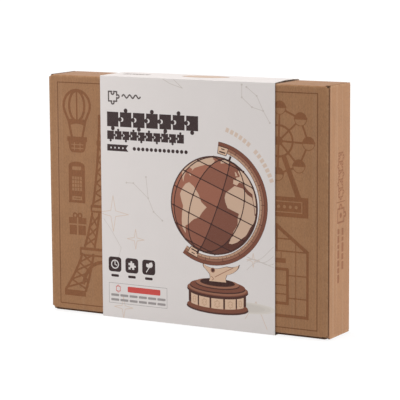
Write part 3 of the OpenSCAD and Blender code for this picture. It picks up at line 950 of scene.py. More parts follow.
# %% Lattice tower
def tower(plate, u, foot):
    """A tower of crossed bars on four curved legs, seen from one side."""
    def outer(h):
        return 46.5 * math.exp(-h / 64.0) - 0.8

    def inner(h):
        return outer(h) * 0.47 if h < 45 else max(outer(h) * 0.62 - 3.4, 0.0)

    legs = [2, 11, 20, 29, 38]
    upper = [47, 56, 66, 78]
    column = [91, 101, 111, 122, 134, 147, 161]
    for side in (-1, 1):
        for edge in (outer, inner):
            for low, high in ((0, 38), (46, 80)):
                curve = [(u + side * edge(h), foot + h) for h in np.linspace(low, high, 10)]
                plate.line(curve, BOLD, BROWN_INK)
        for stack in (legs, upper):
            for a, b in zip(stack, stack[1:]):
                for start, stop in ((outer, inner), (inner, outer)):
                    ends = [(u + side * start(a), foot + a), (u + side * stop(b), foot + b)]
                    plate.line(ends, STROKE, BROWN_INK)
        mast = [(u + side * (outer(h) + 0.6), foot + h) for h in np.linspace(88, 178, 12)]
        plate.line(mast, BOLD, BROWN_INK)
        x0, x1 = sorted((u + side * 47, u + side * 21.5))
        plate.bar((x0, foot - 6), (x1, foot), BROWN_INK)
        turn = np.linspace(math.radians(14), math.pi / 2, 12)
        arch = [(u + side * 25 * math.cos(a), foot + 31 * math.sin(a)) for a in turn]
        plate.line(arch, 3.6, BROWN_INK)
    for a, b in zip(column, column[1:]):
        wa, wb = outer(a), outer(b)
        plate.line([(u - wa, foot + a), (u + wb, foot + b)], STROKE, BROWN_INK)
        plate.line([(u + wa, foot + a), (u - wb, foot + b)], STROKE, BROWN_INK)
    for h, width, thick in ((37, 27, 7), (82, 13.5, 6), (150, 5.5, 3), (176, 3.4, 3)):
        plate.frame((u - width, foot + h), (u + width, foot + h + thick), STROKE, BROWN_INK)
        plate.bar((u - width, foot + h + thick - 2), (u + width, foot + h + thick), BROWN_INK)
    plate.line([(u, foot + 179), (u, foot + 193)], STROKE, BROWN_INK)


tower(lid_art, 62, 22)
print("with the tower it has", len(lid_art.shapes))

# %% Big wheel
def big_wheel(plate, u, z):
    """A fairground wheel with eight cabins and its hub at u, z."""
    hub = np.array([u, z])
    seats = [hub + 31.5 * direction(angle) for angle in range(-2, 358, 45)]
    plate.line(seats, 2.0, BROWN_INK, closed=True)
    for seat in seats:
        plate.line([hub, seat], STROKE, BROWN_INK)
    plate.ring((u, z), 13.8, 15.9, BROWN_INK)
    plate.disc((u, z), 4.4, BROWN_INK, steps=20)
    for side in (-1, 1):
        plate.area([(u + side * 2.6, z - 14), (u + side * 8.0, z - 14), (u + side * 24, z - 53),
                    (u + side * 18, z - 53)], BROWN_INK)
    for seat in seats:
        plate.disc(seat, 6.7, BROWN_INK, steps=24)
        plate.arc(seat, 0.0, 5.9, 180, 360, BARE, 14)
        plate.bar(seat + (-7.2, -0.4), seat + (7.2, 1.6), BROWN_INK, 0.9)
    plate.bar((u - 31.5, z - 72), (u + 31.5, z - 52.6), BROWN_INK)
    plate.frame((u - 24.6, z - 67.4), (u + 24.6, z - 57.2), FINE, BARE)
    for k in range(-3, 4):
        plate.disc((u + 6.2 * k, z - 62.3), 1.6, BARE, steps=10)


big_wheel(lid_art, 259.8, 186.4)
print("with the big wheel it has", len(lid_art.shapes))

# %% Glasshouse
def glasshouse(plate, u, z):
    """A glasshouse with a pitched roof. Its foot is centred at u, z."""
    half, eaves, apex = 33.0, 63.5, 88.0
    plate.bar((u - half - 1.2, z - 0.6), (u + half + 1.2, z + 2.4), BROWN_INK)
    plate.line([(u - half, z + eaves), (u, z + apex), (u + half, z + eaves)], 3.6, BROWN_INK)
    plate.line([(u, z + eaves), (u, z + apex)], BOLD, BROWN_INK)
    for side in (-1, 1):
        plate.line([(u + side * half, z), (u + side * half, z + eaves)], BOLD, BROWN_INK)
        plate.line([(u + side * 20.6, z), (u + side * 20.6, z + eaves + 9)], FINE, BROWN_INK)
        for h in (18.4, 40.4):
            plate.line([(u + side * 13, z + h), (u + side * half, z + h)], 1.3, BROWN_INK)
        plate.line([(u + side * 5, z + eaves), (u + side * 5, z + 56)], FINE, BROWN_INK)
    for h in (eaves, 75.4):
        reach = half * (apex - h) / (apex - eaves)
        plate.line([(u - reach, z + h), (u + reach, z + h)], 1.4, BROWN_INK)
    plate.frame((u - 11.8, z + 13), (u + 11.8, z + 46), 2.9, BROWN_INK)
    for h in (22, 30.6):
        plate.line([(u - 11.8, z + h), (u + 11.8, z + h)], 1.2, BROWN_INK)
    plate.bar((u - 10, z + 52), (u + 10, z + 56.6), BROWN_INK)


glasshouse(lid_art, 257.5, 18)
print(len(lid_art.shapes), "shapes on the lid")

# %% [markdown]
# ## The drawing on the end wall
#
# The end wall carries a small line of marks in a rust-coloured ink. A puzzle box is best
# marked with puzzle pieces, so the marks here are jigsaw outlines and plain bars. One
# function draws a piece: it walks round a square and puts a round knob on each side, either
# outwards or inwards.

# %% Jigsaw piece
def jigsaw_outline(u, z, width, height, knobs=(1, -1, 1, -1)):
    """The outline of a puzzle piece, with a knob on its lower, right, upper and left side."""
    corners = [(-0.5, -0.5), (0.5, -0.5), (0.5, 0.5), (-0.5, 0.5)]
    points = []
    for k, knob in enumerate(knobs):
        a = np.array(corners[k]) * (width, height)
        b = np.array(corners[(k + 1) % 4]) * (width, height)
        along = (b - a) / np.linalg.norm(b - a)
        outward = np.array([along[1], -along[0]]) * knob
        radius = 0.17 * min(width, height)
        middle = (a + b) / 2 + outward * radius * 0.75
        points.append(a)
        if knob:
            for t in np.radians(np.linspace(-140, 140, 9)):
                knob_point = outward * radius * math.cos(t) + along * radius * math.sin(t)
                points.append(middle + knob_point)
    return [(u + x, z + y) for x, y in points]


print("a puzzle piece is drawn with", len(jigsaw_outline(0, 0, 10, 10)), "points")

# %% End wall
wall_path = FoldPath(
    (X_OUT - FOLD + HALF_FOLD, Y_BACK - FOLD + HALF_FOLD), -45,
    [("fold", 45, FOLD), ("flat", Y_BACK - Y_FRONT - 2 * FOLD - BOARD - LID_CLEARANCE),
     ("fold", 45, FOLD)],
)


def end_wall_art(marks):
    """Painted shade along the front fold, and marks drawn from the front edge and the foot."""
    art = Plate((Z_LOW, wall_path.starts[1] + Y_BACK - FOLD - Y_FRONT), turned=True)
    # A bar of painted shade on the front fold, standing in for the dark gap behind the lid's edge.
    art.bar((0.2, 2.2), (3.3, 237.6), CREASE_SHADE_INK)
    if not marks:
        return art
    for k in range(5):
        knobs = (1 if k else 0, -1, -1, 1) if k % 2 else (1 if k else 0, 1, -1, -1)
        art.line(jigsaw_outline(26.6, 171 - 8.4 * k, 9.0, 8.4, knobs), 1.3, RUST_INK, closed=True)
    art.line([(18, 128.4), (36, 128.4)], 1.0, RUST_INK)
    art.line(jigsaw_outline(27, 115.5, 13.5, 13, (0, 1, 1, 0)), 1.9, RUST_INK, closed=True)
    art.disc((27, 115.5), 2.6, RUST_INK, steps=14)
    for f, top, lengths in ((31.0, 103, (7, 4, 9, 6, 8)), (22, 103, (5, 7, 4, 8, 6, 5, 8))):
        for length in lengths:
            art.bar((f - 2.1, top - length), (f + 2.1, top), RUST_INK, 0.8)
            top -= length + 1.5
    return art


wall_art = {"right": end_wall_art(True), "left": end_wall_art(False)}
print(len(wall_art["right"].shapes), "shapes on the right end wall")

# %% [markdown]
# ## The picture on the sleeve
#
# The sleeve shows what is in the box: a wooden globe in a half ring on a round foot. The
# globe is drawn the way a map maker would: longitude and latitude are turned into points on
# a ball, the ball is tilted, and the front half is looked at from straight ahead. The wooden
# tiles make ten strips round the ball and eight bands from pole to pole.

# %% Points on the globe
GLOBE = np.array([190.0, 120.0])
GLOBE_RADIUS = 47.8
TILT = math.radians(-21)
MIDDLE_LONGITUDE = -27.0


def on_globe(longitude, latitude):
    """Where a place is drawn, and whether it is on the front half."""
    east = math.radians(longitude - MIDDLE_LONGITUDE)
    north = math.radians(latitude)
    x, z = math.cos(north) * math.sin(east), math.sin(north)
    front = math.cos(north) * math.cos(east)
    if front < 0:
        reach = math.hypot(x, z) or 1.0
        x, z = x / reach, z / reach
    turned = (x * math.cos(TILT) - z * math.sin(TILT), x * math.sin(TILT) + z * math.cos(TILT))
    return GLOBE + GLOBE_RADIUS * np.array(turned), front >= 0


def globe_outline(places, step=8.0):
    """A closed line through places, with points close enough to follow the ball."""
    points, seen = [], False
    for (lon_a, lat_a), (lon_b, lat_b) in zip(places, places[1:] + places[:1]):
        count = max(1, int(max(abs(lon_b - lon_a), abs(lat_b - lat_a)) / step))
        for k in range(count):
            lon = lon_a + (lon_b - lon_a) * k / count
            spot, front = on_globe(lon, lat_a + (lat_b - lat_a) * k / count)
            seen = seen or front
            if not points or np.linalg.norm(spot - points[-1]) > 0.25:
                points.append(spot)
    return points if seen and len(points) > 2 else []


print("the north pole is drawn at", on_globe(0, 90)[0].round(1), "mm")

# %% Outlines of the land
LANDS = [
    [(-80, 0), (-77, 8), (-72, 12), (-62, 10), (-51, 4), (-44, -3), (-35, -6), (-39, -15),
     (-41, -22), (-48, -27), (-57, -37), (-65, -42), (-67, -50), (-70, -54), (-75, -47),
     (-72, -32), (-70, -18), (-81, -6)],
    [(-6, 35), (10, 37), (20, 32), (33, 31), (38, 20), (43, 12), (51, 12), (47, 4), (40, -4),
     (40, -15), (35, -21), (32, -28), (26, -34), (19, -35), (15, -27), (12, -17), (13, -8),
     (9, 0), (9, 5), (-3, 5), (-9, 5), (-14, 10), (-17, 15), (-17, 21), (-12, 28)],
    [(-9, 37), (-9, 43), (-2, 44), (-4, 48), (3, 51), (8, 54), (5, 60), (12, 66), (22, 70),
     (40, 67), (60, 69), (78, 73), (100, 77), (100, 20), (80, 10), (72, 20), (60, 25),
     (57, 24), (45, 13), (36, 28), (36, 36), (27, 37), (20, 39), (14, 45), (17, 40), (10, 44),
     (3, 43), (-2, 37)],
    [(-45, 60), (-53, 66), (-57, 74), (-68, 78), (-50, 82), (-25, 82), (-20, 74), (-24, 69),
     (-38, 65)],
    [(-56, 51), (-64, 60), (-78, 62), (-82, 72), (-100, 75), (-130, 70), (-120, 35),
     (-105, 20), (-95, 16), (-83, 9), (-88, 16), (-90, 21), (-97, 26), (-90, 30),
     (-82, 29), (-80, 26), (-80, 32), (-74, 38), (-69, 43), (-64, 46)],
    [(-5, 50), (1, 52), (-2, 57), (-6, 58), (-5, 54)],
    [(-84, 22), (-77, 20), (-74, 20), (-80, 23)],
]
print(len(LANDS), "lands with", sum(len(places) for places in LANDS), "corners")

# %% Sea, land and joints of the globe
JOINT_LONGITUDE, JOINT_LATITUDE = 36.0, 22.5


def draw_globe(plate):
    """Brown sea tiles, cream land and the dark joints between the tiles."""
    shade = random.Random(7)
    plate.disc(GLOBE, GLOBE_RADIUS + 0.4, GRID, steps=72)
    first = MIDDLE_LONGITUDE + 5.0 - 3 * JOINT_LONGITUDE
    for column in range(6):
        west = first + column * JOINT_LONGITUDE
        for row in range(8):
            south = -90 + row * JOINT_LATITUDE
            east, north = west + JOINT_LONGITUDE, south + JOINT_LATITUDE
            outline = globe_outline([(west, south), (east, south), (east, north), (west, north)])
            if outline:
                middle, _ = on_globe(west + JOINT_LONGITUDE / 2, south + JOINT_LATITUDE / 2)
                across, up = (middle - GLOBE) / GLOBE_RADIUS
                share = 0.56 - 0.42 * across + 0.30 * up + shade.uniform(-0.12, 0.12)
                lit = min(max(share, 0.0), 1.0)
                plate.area(outline, OCEAN_DARK + (OCEAN_LIGHT - OCEAN_DARK) * lit)
    for places in LANDS:
        outline = globe_outline(places, 4.0)
        if outline:
            plate.area(outline, LAND * shade.uniform(0.92, 1.0))
    for column in range(7):
        meridian = [on_globe(first + column * JOINT_LONGITUDE, lat) for lat in range(-88, 89, 8)]
        draw_joint(plate, meridian)
    for row in range(1, 8):
        level = -90 + row * JOINT_LATITUDE
        draw_joint(plate, [on_globe(first + d, level) for d in range(0, 217, 6)])
        for column in range(7):
            spot, front = on_globe(first + column * JOINT_LONGITUDE, level)
            if front:
                plate.disc(spot, 1.25, GRID, steps=8)
    plate.ring(GLOBE, GLOBE_RADIUS - 0.9, GLOBE_RADIUS, WALNUT_DARK, 36)


def draw_joint(plate, places):
    """A line along the front half of the globe."""
    for (a, a_front), (b, b_front) in zip(places, places[1:]):
        if a_front and b_front:
            plate.line([a, b], 1.05, GRID)


print("globe:", count_shapes(draw_globe), "shapes")

# %% Ring of the globe
RING_CENTRE = (188.0, 122.0)


def draw_ring(plate):
    """The half ring that holds the globe: a dark band outside and a pale scale inside."""
    middle = np.array(RING_CENTRE)
    for inner, outer, colour in (
        (51.8, 60.8, WALNUT_DARK), (57.4, 60.4, WALNUT),
        (54.8, 57.0, WALNUT_MID), (52.2, 54.4, TAN),
    ):
        plate.arc(RING_CENTRE, inner, outer, -123, 83, colour, 60)
    for k, angle in enumerate(range(-118, 81, 5)):
        out = direction(angle)
        tick = 52.9 if k % 2 else 53.6
        plate.line([middle + out * 54.4, middle + out * tick], 0.4, WALNUT_DARK)
        if k % 4 == 0:
            plate.line([middle + out * 57.0, middle + out * 55.2], 0.6, WALNUT_DARK)
    for angle in (77, -113):
        out, side = direction(angle), direction(angle + 90)
        plate.area([middle + out * 49 + side * 5, middle + out * 49 - side * 5,
                    middle + out * 57 - side * 6, middle + out * 57 + side * 6], GRID)
        plate.area([middle + out * 49.6 + side * 4.4, middle + out * 49.6 - side * 4.4,
                    middle + out * 56.4 - side * 5.4, middle + out * 56.4 + side * 5.4], CREAM)
        plate.line([middle + out * 51.5 + side * 3, middle + out * 51.5 - side * 3], 1.3, GRID)
        plate.line([middle + out * 54.6 + side * 1.6, middle + out * 54.6 - side * 1.6], 1.0, GRID)


print("ring:", count_shapes(draw_ring), "shapes")

# %% Foot of the globe
def draw_foot(plate):
    """A scrolled bracket on a round drum with pale panels between two dark rims."""
    for reach, tint in ((33, 210), (28, 204), (22, 198)):
        plate.disc((224, 23.0), reach, ink(tint, tint - 8, tint - 16), 0.17)
    plate.disc((193.4, 19.8), 34.4, WALNUT_DARK, 0.19, 48)
    plate.disc((193.4, 21.4), 33.8, WALNUT, 0.19, 48)
    plate.area([(161.4, 37), (161.4, 24)] + list(bend((161.4, 24), (193.2, 14.6), (225.2, 24), 10))
               + [(225.2, 37)], WALNUT_DARK)
    for k in range(5):
        start = 201 + k * 28.4
        turns = np.radians(np.linspace(start, start + 24.6, 6))
        rim = [(193.3 + 31.2 * math.cos(a), 5.6 * math.sin(a)) for a in turns]
        panel = [(x, 34.4 + y) for x, y in rim] + [(x, 24.4 + y) for x, y in reversed(rim)]
        plate.area(panel, CREAM)
        width = rim[-1][0] - rim[0][0]
        middle = ((rim[0][0] + rim[-1][0]) / 2, 29.2 + rim[2][1])
        plate.line(jigsaw_outline(*middle, 0.42 * width, 4.6), 0.4, TAN, closed=True)
    for z, radius, flat, colour in (
        (36.8, 34.0, 0.21, WALNUT_DARK), (38.4, 33.8, 0.21, WALNUT),
        (38.9, 32.2, 0.205, WALNUT_MID), (40.2, 31.0, 0.20, WALNUT_DARK),
        (41.4, 30.6, 0.20, WALNUT), (42.8, 24.5, 0.20, WALNUT_DARK),
        (43.9, 24.0, 0.20, WALNUT_MID), (44.6, 19.5, 0.19, WALNUT_DARK),
        (45.2, 18.8, 0.19, GRID),
    ):
        plate.disc((193.6, z), radius, colour, flat, 44)
    bracket = [(184.0, 45.0)] + list(bend((184.5, 47), (187.0, 52), (181.0, 56), 6))
    bracket += list(bend((180.5, 57), (176.5, 59), (177.5, 63.5), 5))
    bracket += list(bend((179.5, 61.0), (190, 56.5), (199, 60.0), 6))
    bracket += list(bend((204, 61.5), (212, 60), (218.5, 64.5), 6))
    bracket += list(bend((217.5, 61), (213, 55), (204.5, 53), 6)) + [(203.0, 49), (203.8, 45.0)]
    plate.area(bracket, GRID)
    plate.area([(194.5 + (x - 194.5) * 0.95, 54 + (z - 54) * 0.93) for x, z in bracket], CREAM)
    plate.ring((188.6, 56.6), 1.7, 2.5, WALNUT_MID, 8)
    plate.disc((188.6, 56.6), 1.7, WALNUT_DARK, steps=12)
    plate.line(list(bend((191, 50), (198, 54), (211, 60.5), 6)), 0.7, WALNUT_MID)
    plate.line([(187, 50.5), (189.5, 48), (187.5, 46.5)], 0.6, WALNUT_MID)


print("foot:", count_shapes(draw_foot), "shapes")

# %% [markdown]
# Printed packaging carries a heading, a tag, a few badges and some small print. This box
# shows their places with plain marks: chains of linked puzzle pieces for the heading, dots
# for a line of words, pictures in the badges, and bars for the small print.

# %% Marks beside the globe
def mark_row(plate, u, z, height, pitch, width, pieces, colour):
    """A row of filled puzzle pieces, used where a box has its heading."""
    for k, knobs in enumerate(pieces):
        plate.area(jigsaw_outline(u + pitch * k + width / 2, z, width, height, knobs), colour)


def draw_marks(plate):
    """The two chains of pieces, the tag, the badges and the frame of the small print."""
    plate.line(jigsaw_outline(76, 221, 9.5, 9.5, (1, 1, -1, 0)), 1.5, GREY_BROWN, closed=True)
    wave = [(87 + 21 * t, 221.5 + 1.6 * math.sin(t * 6 * math.pi)) for t in np.linspace(0, 1, 25)]
    plate.line(wave, 1.5, GREY_BROWN)
    for z, height, pitch, number in ((198.4, 14.6, 15.1, 7), (182.6, 8.6, 8.9, 10)):
        chain = [(1 - k % 2, int(k < number - 1), k % 2, -int(k > 0)) for k in range(number)]
        mark_row(plate, 69.2, z, height, pitch, 0.88 * pitch, chain, DARK)
    plate.area([(69, 166.8), (93.6, 166.8), (91, 170.1), (93.6, 173.4), (69, 173.4)], DARK)
    for k in range(4):
        plate.disc((73.5 + 4.6 * k, 170.1), 0.9, BARE, steps=10)
    for k in range(13):
        plate.disc((100.6 + 4.9 * k, 170.1), 1.9, DARK, steps=14)
    draw_badges(plate)
    plate.frame((69.2, 13.6), (136.6, 33.8), 0.4, GREY)
    plate.bar((91, 25.6), (129, 31.4), RED, 1.2)
    plate.line(jigsaw_outline(80, 28.4, 4.6, 4.6, (1, 0, 1, 0)), 0.6, RED, closed=True)
    for z in (20.6, 15.8):
        for k in range(6):
            plate.bar((71.5 + 10.8 * k, z), (80.9 + 10.8 * k, z + 2.4), GREY, 0.7)


def draw_badges(plate):
    """Three dark badges: a dial, a puzzle piece and a twig, each with a bar below it."""
    for u in (76.4, 96.2, 115.8):
        plate.bar((u - 7.5, 45.4), (u + 7.5, 60.4), DARK, 3.0)
        plate.bar((u - 4.4, 40.2), (u + 4.4, 42.8), DARK, 0.9)
    plate.ring((76.4, 52.9), 3.5, 4.6, BARE, 12)
    plate.line([(76.4, 52.9), (76.4, 55.8)], 0.9, BARE)
    plate.line([(76.4, 52.9), (78.4, 52.0)], 0.9, BARE)
    plate.area(jigsaw_outline(95.6, 52.3, 6.6, 6.6, (-1, 1, 1, -1)), BARE)
    plate.line([(113.0, 48.0), (118.4, 55.6)], 0.9, BARE)
    for tip, reach in (((119.6, 58.2), 2.4), ((113.2, 56.6), -1.6)):
        foot = (116.4, 52.6)
        plate.area(list(bend(foot, (foot[0] - reach, tip[1]), tip, 6))
                   + list(bend(tip, (tip[0] + reach, foot[1]), foot, 6)), BARE)


print("marks and badges:", count_shapes(draw_marks), "shapes")

# %% [markdown]
# Behind everything lies a faint pattern of stars and thin lines. It is drawn first, so that
# the picture and the marks cover it.

# %% Faint ornament
def four_point_star(u, z, reach, pinch=0.16):
    """The outline of a star with four long points."""
    points = []
    for k in range(8):
        size = reach if k % 2 == 0 else reach * pinch * 1.4
        turn = k * math.pi / 4
        points.append((u + size * math.cos(turn), z + size * math.sin(turn)))
    return points


def draw_ornament(plate):
    """Stars, two constellations, waves and dashes, hardly darker than the paper."""
    for stars in (
        [(91, 136), (99, 136), (116, 122), (122, 109), (132, 101)],
        [(113.6, 143), (116, 122)],
        [(221, 238), (221, 226), (232, 217), (244, 214), (251, 203)],
        [(244, 214), (237, 228), (226, 236)],
    ):
        plate.line(stars, 0.6, FAINT)
        for spot in stars:
            plate.disc(spot, 1.0, FAINT, steps=10)
    for u, z, reach in ((75, 104, 18), (101, 80, 10), (233, 70, 7), (86, 10, 11)):
        plate.line(four_point_star(u, z, reach), 0.6, FAINT_TAN, closed=True)
    for shift in (0, 4, 8, 12):
        crest = [(226 + 29 * t, 60 + shift + 9 * t + 5 * math.sin(t * math.pi * 1.3 + shift / 4))
                 for t in np.linspace(0, 1, 16)]
        plate.line(crest, 0.5, FAINT)
    for k in range(14):
        if k != 6:
            plate.arc((180, 120), 75.8, 80.2, 69.9 - 3.85 * k, 72.5 - 3.85 * k, FAINT_TAN, 2)
    plate.line([(134, 240), (142, 236), (156, 232), (146, 240)], 0.6, FAINT)
    plate.line([(224, 12), (236, 30), (248, 4)], 0.6, FAINT_TAN)
    plate.line([(64, 98), (72, 88), (84, 70), (78, 52)], 0.5, FAINT)


print("faint pattern:", count_shapes(draw_ornament), "shapes")

# %% [markdown]
# The sleeve's strip starts at the top of its glue flap, behind the box. It runs down, along
# the bottom to the front, up the front, over the top and down the back, where it covers the
# glue flap. The distances along the strip say where each panel's print begins.

# %% Path of the sleeve
PAPER, PAPER_CREASE = 0.4, 0.3
PAPER_FOLD = PAPER + PAPER_CREASE
GLUE_FLAP = box_mm("sleeve_glue_flap")[1][2]
Y_GLUE = Y_SLEEVE - PAPER
UPRIGHT = Z_SLEEVE - 2 * PAPER_FOLD
sleeve_path = FoldPath(
    (Y_GLUE, GLUE_FLAP), -90,
    [("flat", GLUE_FLAP - PAPER_FOLD), ("fold", 90, PAPER_FOLD),
     ("flat", Y_GLUE + Y_SLEEVE - 2 * PAPER_FOLD), ("fold", 90, PAPER_FOLD),
     ("flat", UPRIGHT), ("fold", 90, PAPER_FOLD),
     ("flat", 2 * (Y_SLEEVE - PAPER_FOLD)), ("fold", 90, PAPER_FOLD),
     ("flat", UPRIGHT + PAPER_FOLD - PAPER)],
)
front_starts, top_starts, back_starts = (sleeve_path.starts[k] for k in (4, 6, 8))
print("the sleeve is cut", round(sleeve_path.starts[-1], 1), "mm long")


# %% Everything on the sleeve
def sleeve_print():
    """The front picture, the bands of the top and the plain marks of the back."""
    front = Plate((-X_OUT, front_starts + Z_LOW - PAPER_FOLD))
    draw_ornament(front)
    draw_marks(front)
    draw_foot(front)
    draw_ring(front)
    draw_globe(front)
    draw_pole_pins(front)
    top = Plate((-X_OUT, top_starts))
    top.disc((166, 27), 26, ink(176, 150, 134), 0.42, 40)
    top.disc((166, 27), 23, ink(196, 172, 154), 0.36, 36)
    chain = [(1, 1, 0, 0), (-1, 1, 0, -1), (1, 1, 0, -1), (-1, 0, 0, -1)]
    mark_row(top, 74, 25, 8.6, 7.6, 6.7, chain, ink(150, 140, 136))
    back = Plate((0.0, back_starts))
    x0, x1 = SLEEVE_X0 + 9, SLEEVE_X1 - 9
    back.frame((x0, 12), (x1, UPRIGHT - 12), 0.5, GREY)
    for k in range(4):
        for row in range(3):
            piece = jigsaw_outline(x0 + 34 + 36 * k, 70 + 44 * row, 22, 22)
            back.line(piece, 0.8, FAINT_TAN, closed=True)
    for row in range(5):
        end = x0 + 150 - 17 * (row % 3)
        back.bar((x0 + 16, 190 + 6 * row), (end, 192.4 + 6 * row), GREY, 1.0)
    return front.shapes + top.shapes + back.shapes


def draw_pole_pins(plate):
    """The pins that hold the globe in its ring."""
    for angle in (69, -111):
        out, side = direction(angle), direction(angle + 90)
        near = GLOBE + out * (GLOBE_RADIUS - 0.6)
        plate.line([near - side * 6, near + side * 6], 1.7, GRID)
        plate.line([near, near + out * 4.5], 2.2, GRID)


sleeve_shapes = sleeve_print()
print(len(sleeve_shapes), "shapes on the sleeve")

# %% [markdown]
# ## Corrugated medium
#
# Between its two liners, corrugated board holds a wavy paper. The wave repeats more than
# ninety times across the lid, so Geometry Nodes make it: a straight line is cut into short
# steps, lifted by a sine, and swept with a thin rectangle as wide as the flutes are long.
# The tree takes the panel's size, so one tree serves all six panels.

# %% Tree of the medium
POINTS_PER_FLUTE = 12


def corrugation_tree():
    """A wavy sheet that lies along X, with its flutes along Y."""
    tree = bpy.data.node_groups.new("Corrugated medium", "GeometryNodeTree")
    for name, kind, value in (
        ("Width", VALUE, 0.3), ("Flute Length", VALUE, 0.2), ("Pitch", VALUE, FLUTE_PITCH * MM),
        ("Flute Height", VALUE, 0.001), ("Paper", VALUE, 0.00018), ("Steps", "NodeSocketInt", 100),
        ("Material", "NodeSocketMaterial", None),
    ):
        socket = tree.interface.new_socket(name=name, in_out="INPUT", socket_type=kind)
        if value is not None:
            socket.default_value = value
    tree.interface.new_socket(name="Geometry", in_out="OUTPUT", socket_type="NodeSocketGeometry")
    given = tree.nodes.new("NodeGroupInput").outputs
    end = add_node(tree, "ShaderNodeCombineXYZ", {"X": given["Width"]})
    line = add_node(tree, "GeometryNodeCurvePrimitiveLine", {"End": end.outputs[0]})
    steps = add_node(
        tree, "GeometryNodeResampleCurve", {"Curve": line.outputs[0], "Count": given["Steps"]},
        mode="COUNT",
    )
    place = tree.nodes.new("GeometryNodeInputPosition")
    along = add_node(tree, "ShaderNodeSeparateXYZ", {0: place.outputs[0]}).outputs["X"]
    turns = maths(tree, "MULTIPLY", maths(tree, "DIVIDE", along, given["Pitch"]), 2 * math.pi)
    room = maths(tree, "SUBTRACT", given["Flute Height"], given["Paper"])
    swing = maths(tree, "MULTIPLY", room, 0.5)
    lift = maths(tree, "MULTIPLY", maths(tree, "SINE", turns), swing)
    offset = add_node(tree, "ShaderNodeCombineXYZ", {"Z": lift})
    waved = add_node(
        tree, "GeometryNodeSetPosition", {"Geometry": steps.outputs[0], "Offset": offset.outputs[0]}
    )
    flat = add_node(tree, "GeometryNodeSetCurveNormal", {"Curve": waved.outputs[0]}, mode="Z_UP")
    section = add_node(
        tree, "GeometryNodeCurvePrimitiveQuadrilateral",
        {"Width": given["Flute Length"], "Height": given["Paper"]},
    )
    swept = add_node(
        tree, "GeometryNodeCurveToMesh",
        {"Curve": flat.outputs[0], "Profile Curve": section.outputs[0], "Fill Caps": True},
    )
    real = add_node(tree, "GeometryNodeRealizeInstances", {"Geometry": swept.outputs[0]})
    painted = add_node(
        tree, "GeometryNodeSetMaterial",
        {"Geometry": real.outputs[0], "Material": given["Material"]},
    )
    out = tree.nodes.new("NodeGroupOutput")
    tree.links.new(painted.outputs[0], out.inputs["Geometry"])
    return tree


corrugation = corrugation_tree()
print("tree", corrugation.name, "with", len(corrugation.nodes), "nodes")

# %% Medium of one panel
def medium(name, width, flute_length, place):
    """The wavy paper of one panel. The function place carries it from flat to the box."""
    helper = bpy.data.objects.new(name, bpy.data.meshes.new(name + "_helper"))
    scene.collection.objects.link(helper)
    modifier = helper.modifiers.new("medium", "NODES")
    modifier.node_group = corrugation
    sizes = {
        "Width": width * MM, "Flute Length": flute_length * MM,
        "Steps": int(width / FLUTE_PITCH * POINTS_PER_FLUTE), "Material": shaded_flute_paper,
        "Flute Height": (BOARD - 2 * LINER) * MM,
    }
    for item in corrugation.interface.items_tree:
        if item.item_type == "SOCKET" and item.name in sizes:
            modifier[item.identifier] = sizes[item.name]
    evaluated = helper.evaluated_get(bpy.context.evaluated_depsgraph_get())
    mesh = bpy.data.meshes.new_from_object(evaluated)
    bpy.data.objects.remove(helper)
    mesh.name = name
    flat = np.array([v.co for v in mesh.vertices]) / MM
    put = np.array([place(x, y, lift) for x, y, lift in flat])
    mesh.vertices.foreach_set("co", (put * MM).ravel())
    mesh.update()
    face_outwards(mesh)
    piece = bpy.data.objects.new(name, mesh)
    scene.collection.objects.link(piece)
    finish_piece(piece, "box")


def face_outwards(mesh):
    """Turns a closed mesh the right way out if its volume comes out negative."""
    mesh.calc_loop_triangles()
    volume = sum(
        mesh.vertices[a].co.dot(mesh.vertices[b].co.cross(mesh.vertices[c].co))
        for a, b, c in (t.vertices for t in mesh.loop_triangles)
    )
    if volume < 0:
        mesh.flip_normals()


print("medium ready:", corrugation.name)

# %% [markdown]
# ## Building the mailer
#
# Every panel has an outer liner, an inner liner and the medium between them. A crease
# crushes the board, so the medium ends where the fold begins. The panels' widths differ
# where a neighbour tucks in behind them, and those steps are in each outline.

# %% Panel sizes
X_WALL = X_OUT - BOARD
X_FLAP = X_WALL - LAYER_GAP
X_TOP_END = X_FLAP - FOLD
X_LINER_IN = X_FLAP - 2 * BOARD - LAYER_GAP
Y_ROLL = box_mm("side_rollover_right")[0][1]
Y_FLAP_FRONT = box_mm("corner_flap_top_right")[0][1]
Y_FLAP_BACK = box_mm("corner_flap_top_right")[1][1]
OUTER, INNER = (0.0, -LINER), (LINER - BOARD, -BOARD)
CORE = -BOARD / 2


def stepped_outline(path, widths):
    """An outline whose half width changes at each start of a stretch of the strip."""
    right = []
    for k, half_width in enumerate(widths):
        right += [(half_width, path.starts[k]), (half_width, path.starts[k + 1])]
    right = [p for k, p in enumerate(right) if k == 0 or p != right[k - 1]]
    return right + [(-u, s) for u, s in reversed(right)]


def board_layers(path, across, outline, shapes=(), holes=(), cuts=()):
    """The outer and the inner liner of one strip of board."""
    return [
        folded_sheet(path, across, outline, OUTER, shapes, holes, cuts),
        folded_sheet(path, across, outline, INNER, (), holes, cuts),
    ]


def panel_medium(name, path, width, trim=0.0):
    """The medium between the folds of a panel, which stops short of them by trim in all."""
    flat = path.starts[2] - path.starts[1]
    centre = path.starts[1] + flat / 2

    def place(x, y, lift):
        return front_to_back(x - width / 2, *path.place(centre + y, CORE + lift))

    medium(name, width, flat - trim, place)


print("the top wall's end fold begins", round(X_OUT - X_TOP_END, 1), "mm inside the box's end")

# %% Lid
lid_outline = stepped_outline(lid_path, (X_FLAP, X_OUT, X_FLAP))
make_piece(
    "lid_printed_board", board_layers(lid_path, front_to_back, lid_outline, lid_art.shapes),
    [kraft_x, shaded_kraft_edge], "box", ["lid_panel"],
)
LID_EDGE_HOLLOW = 2.0
panel_medium("lid_flutes", lid_path, 2 * (X_OUT - LID_EDGE_HOLLOW), trim=0.4)

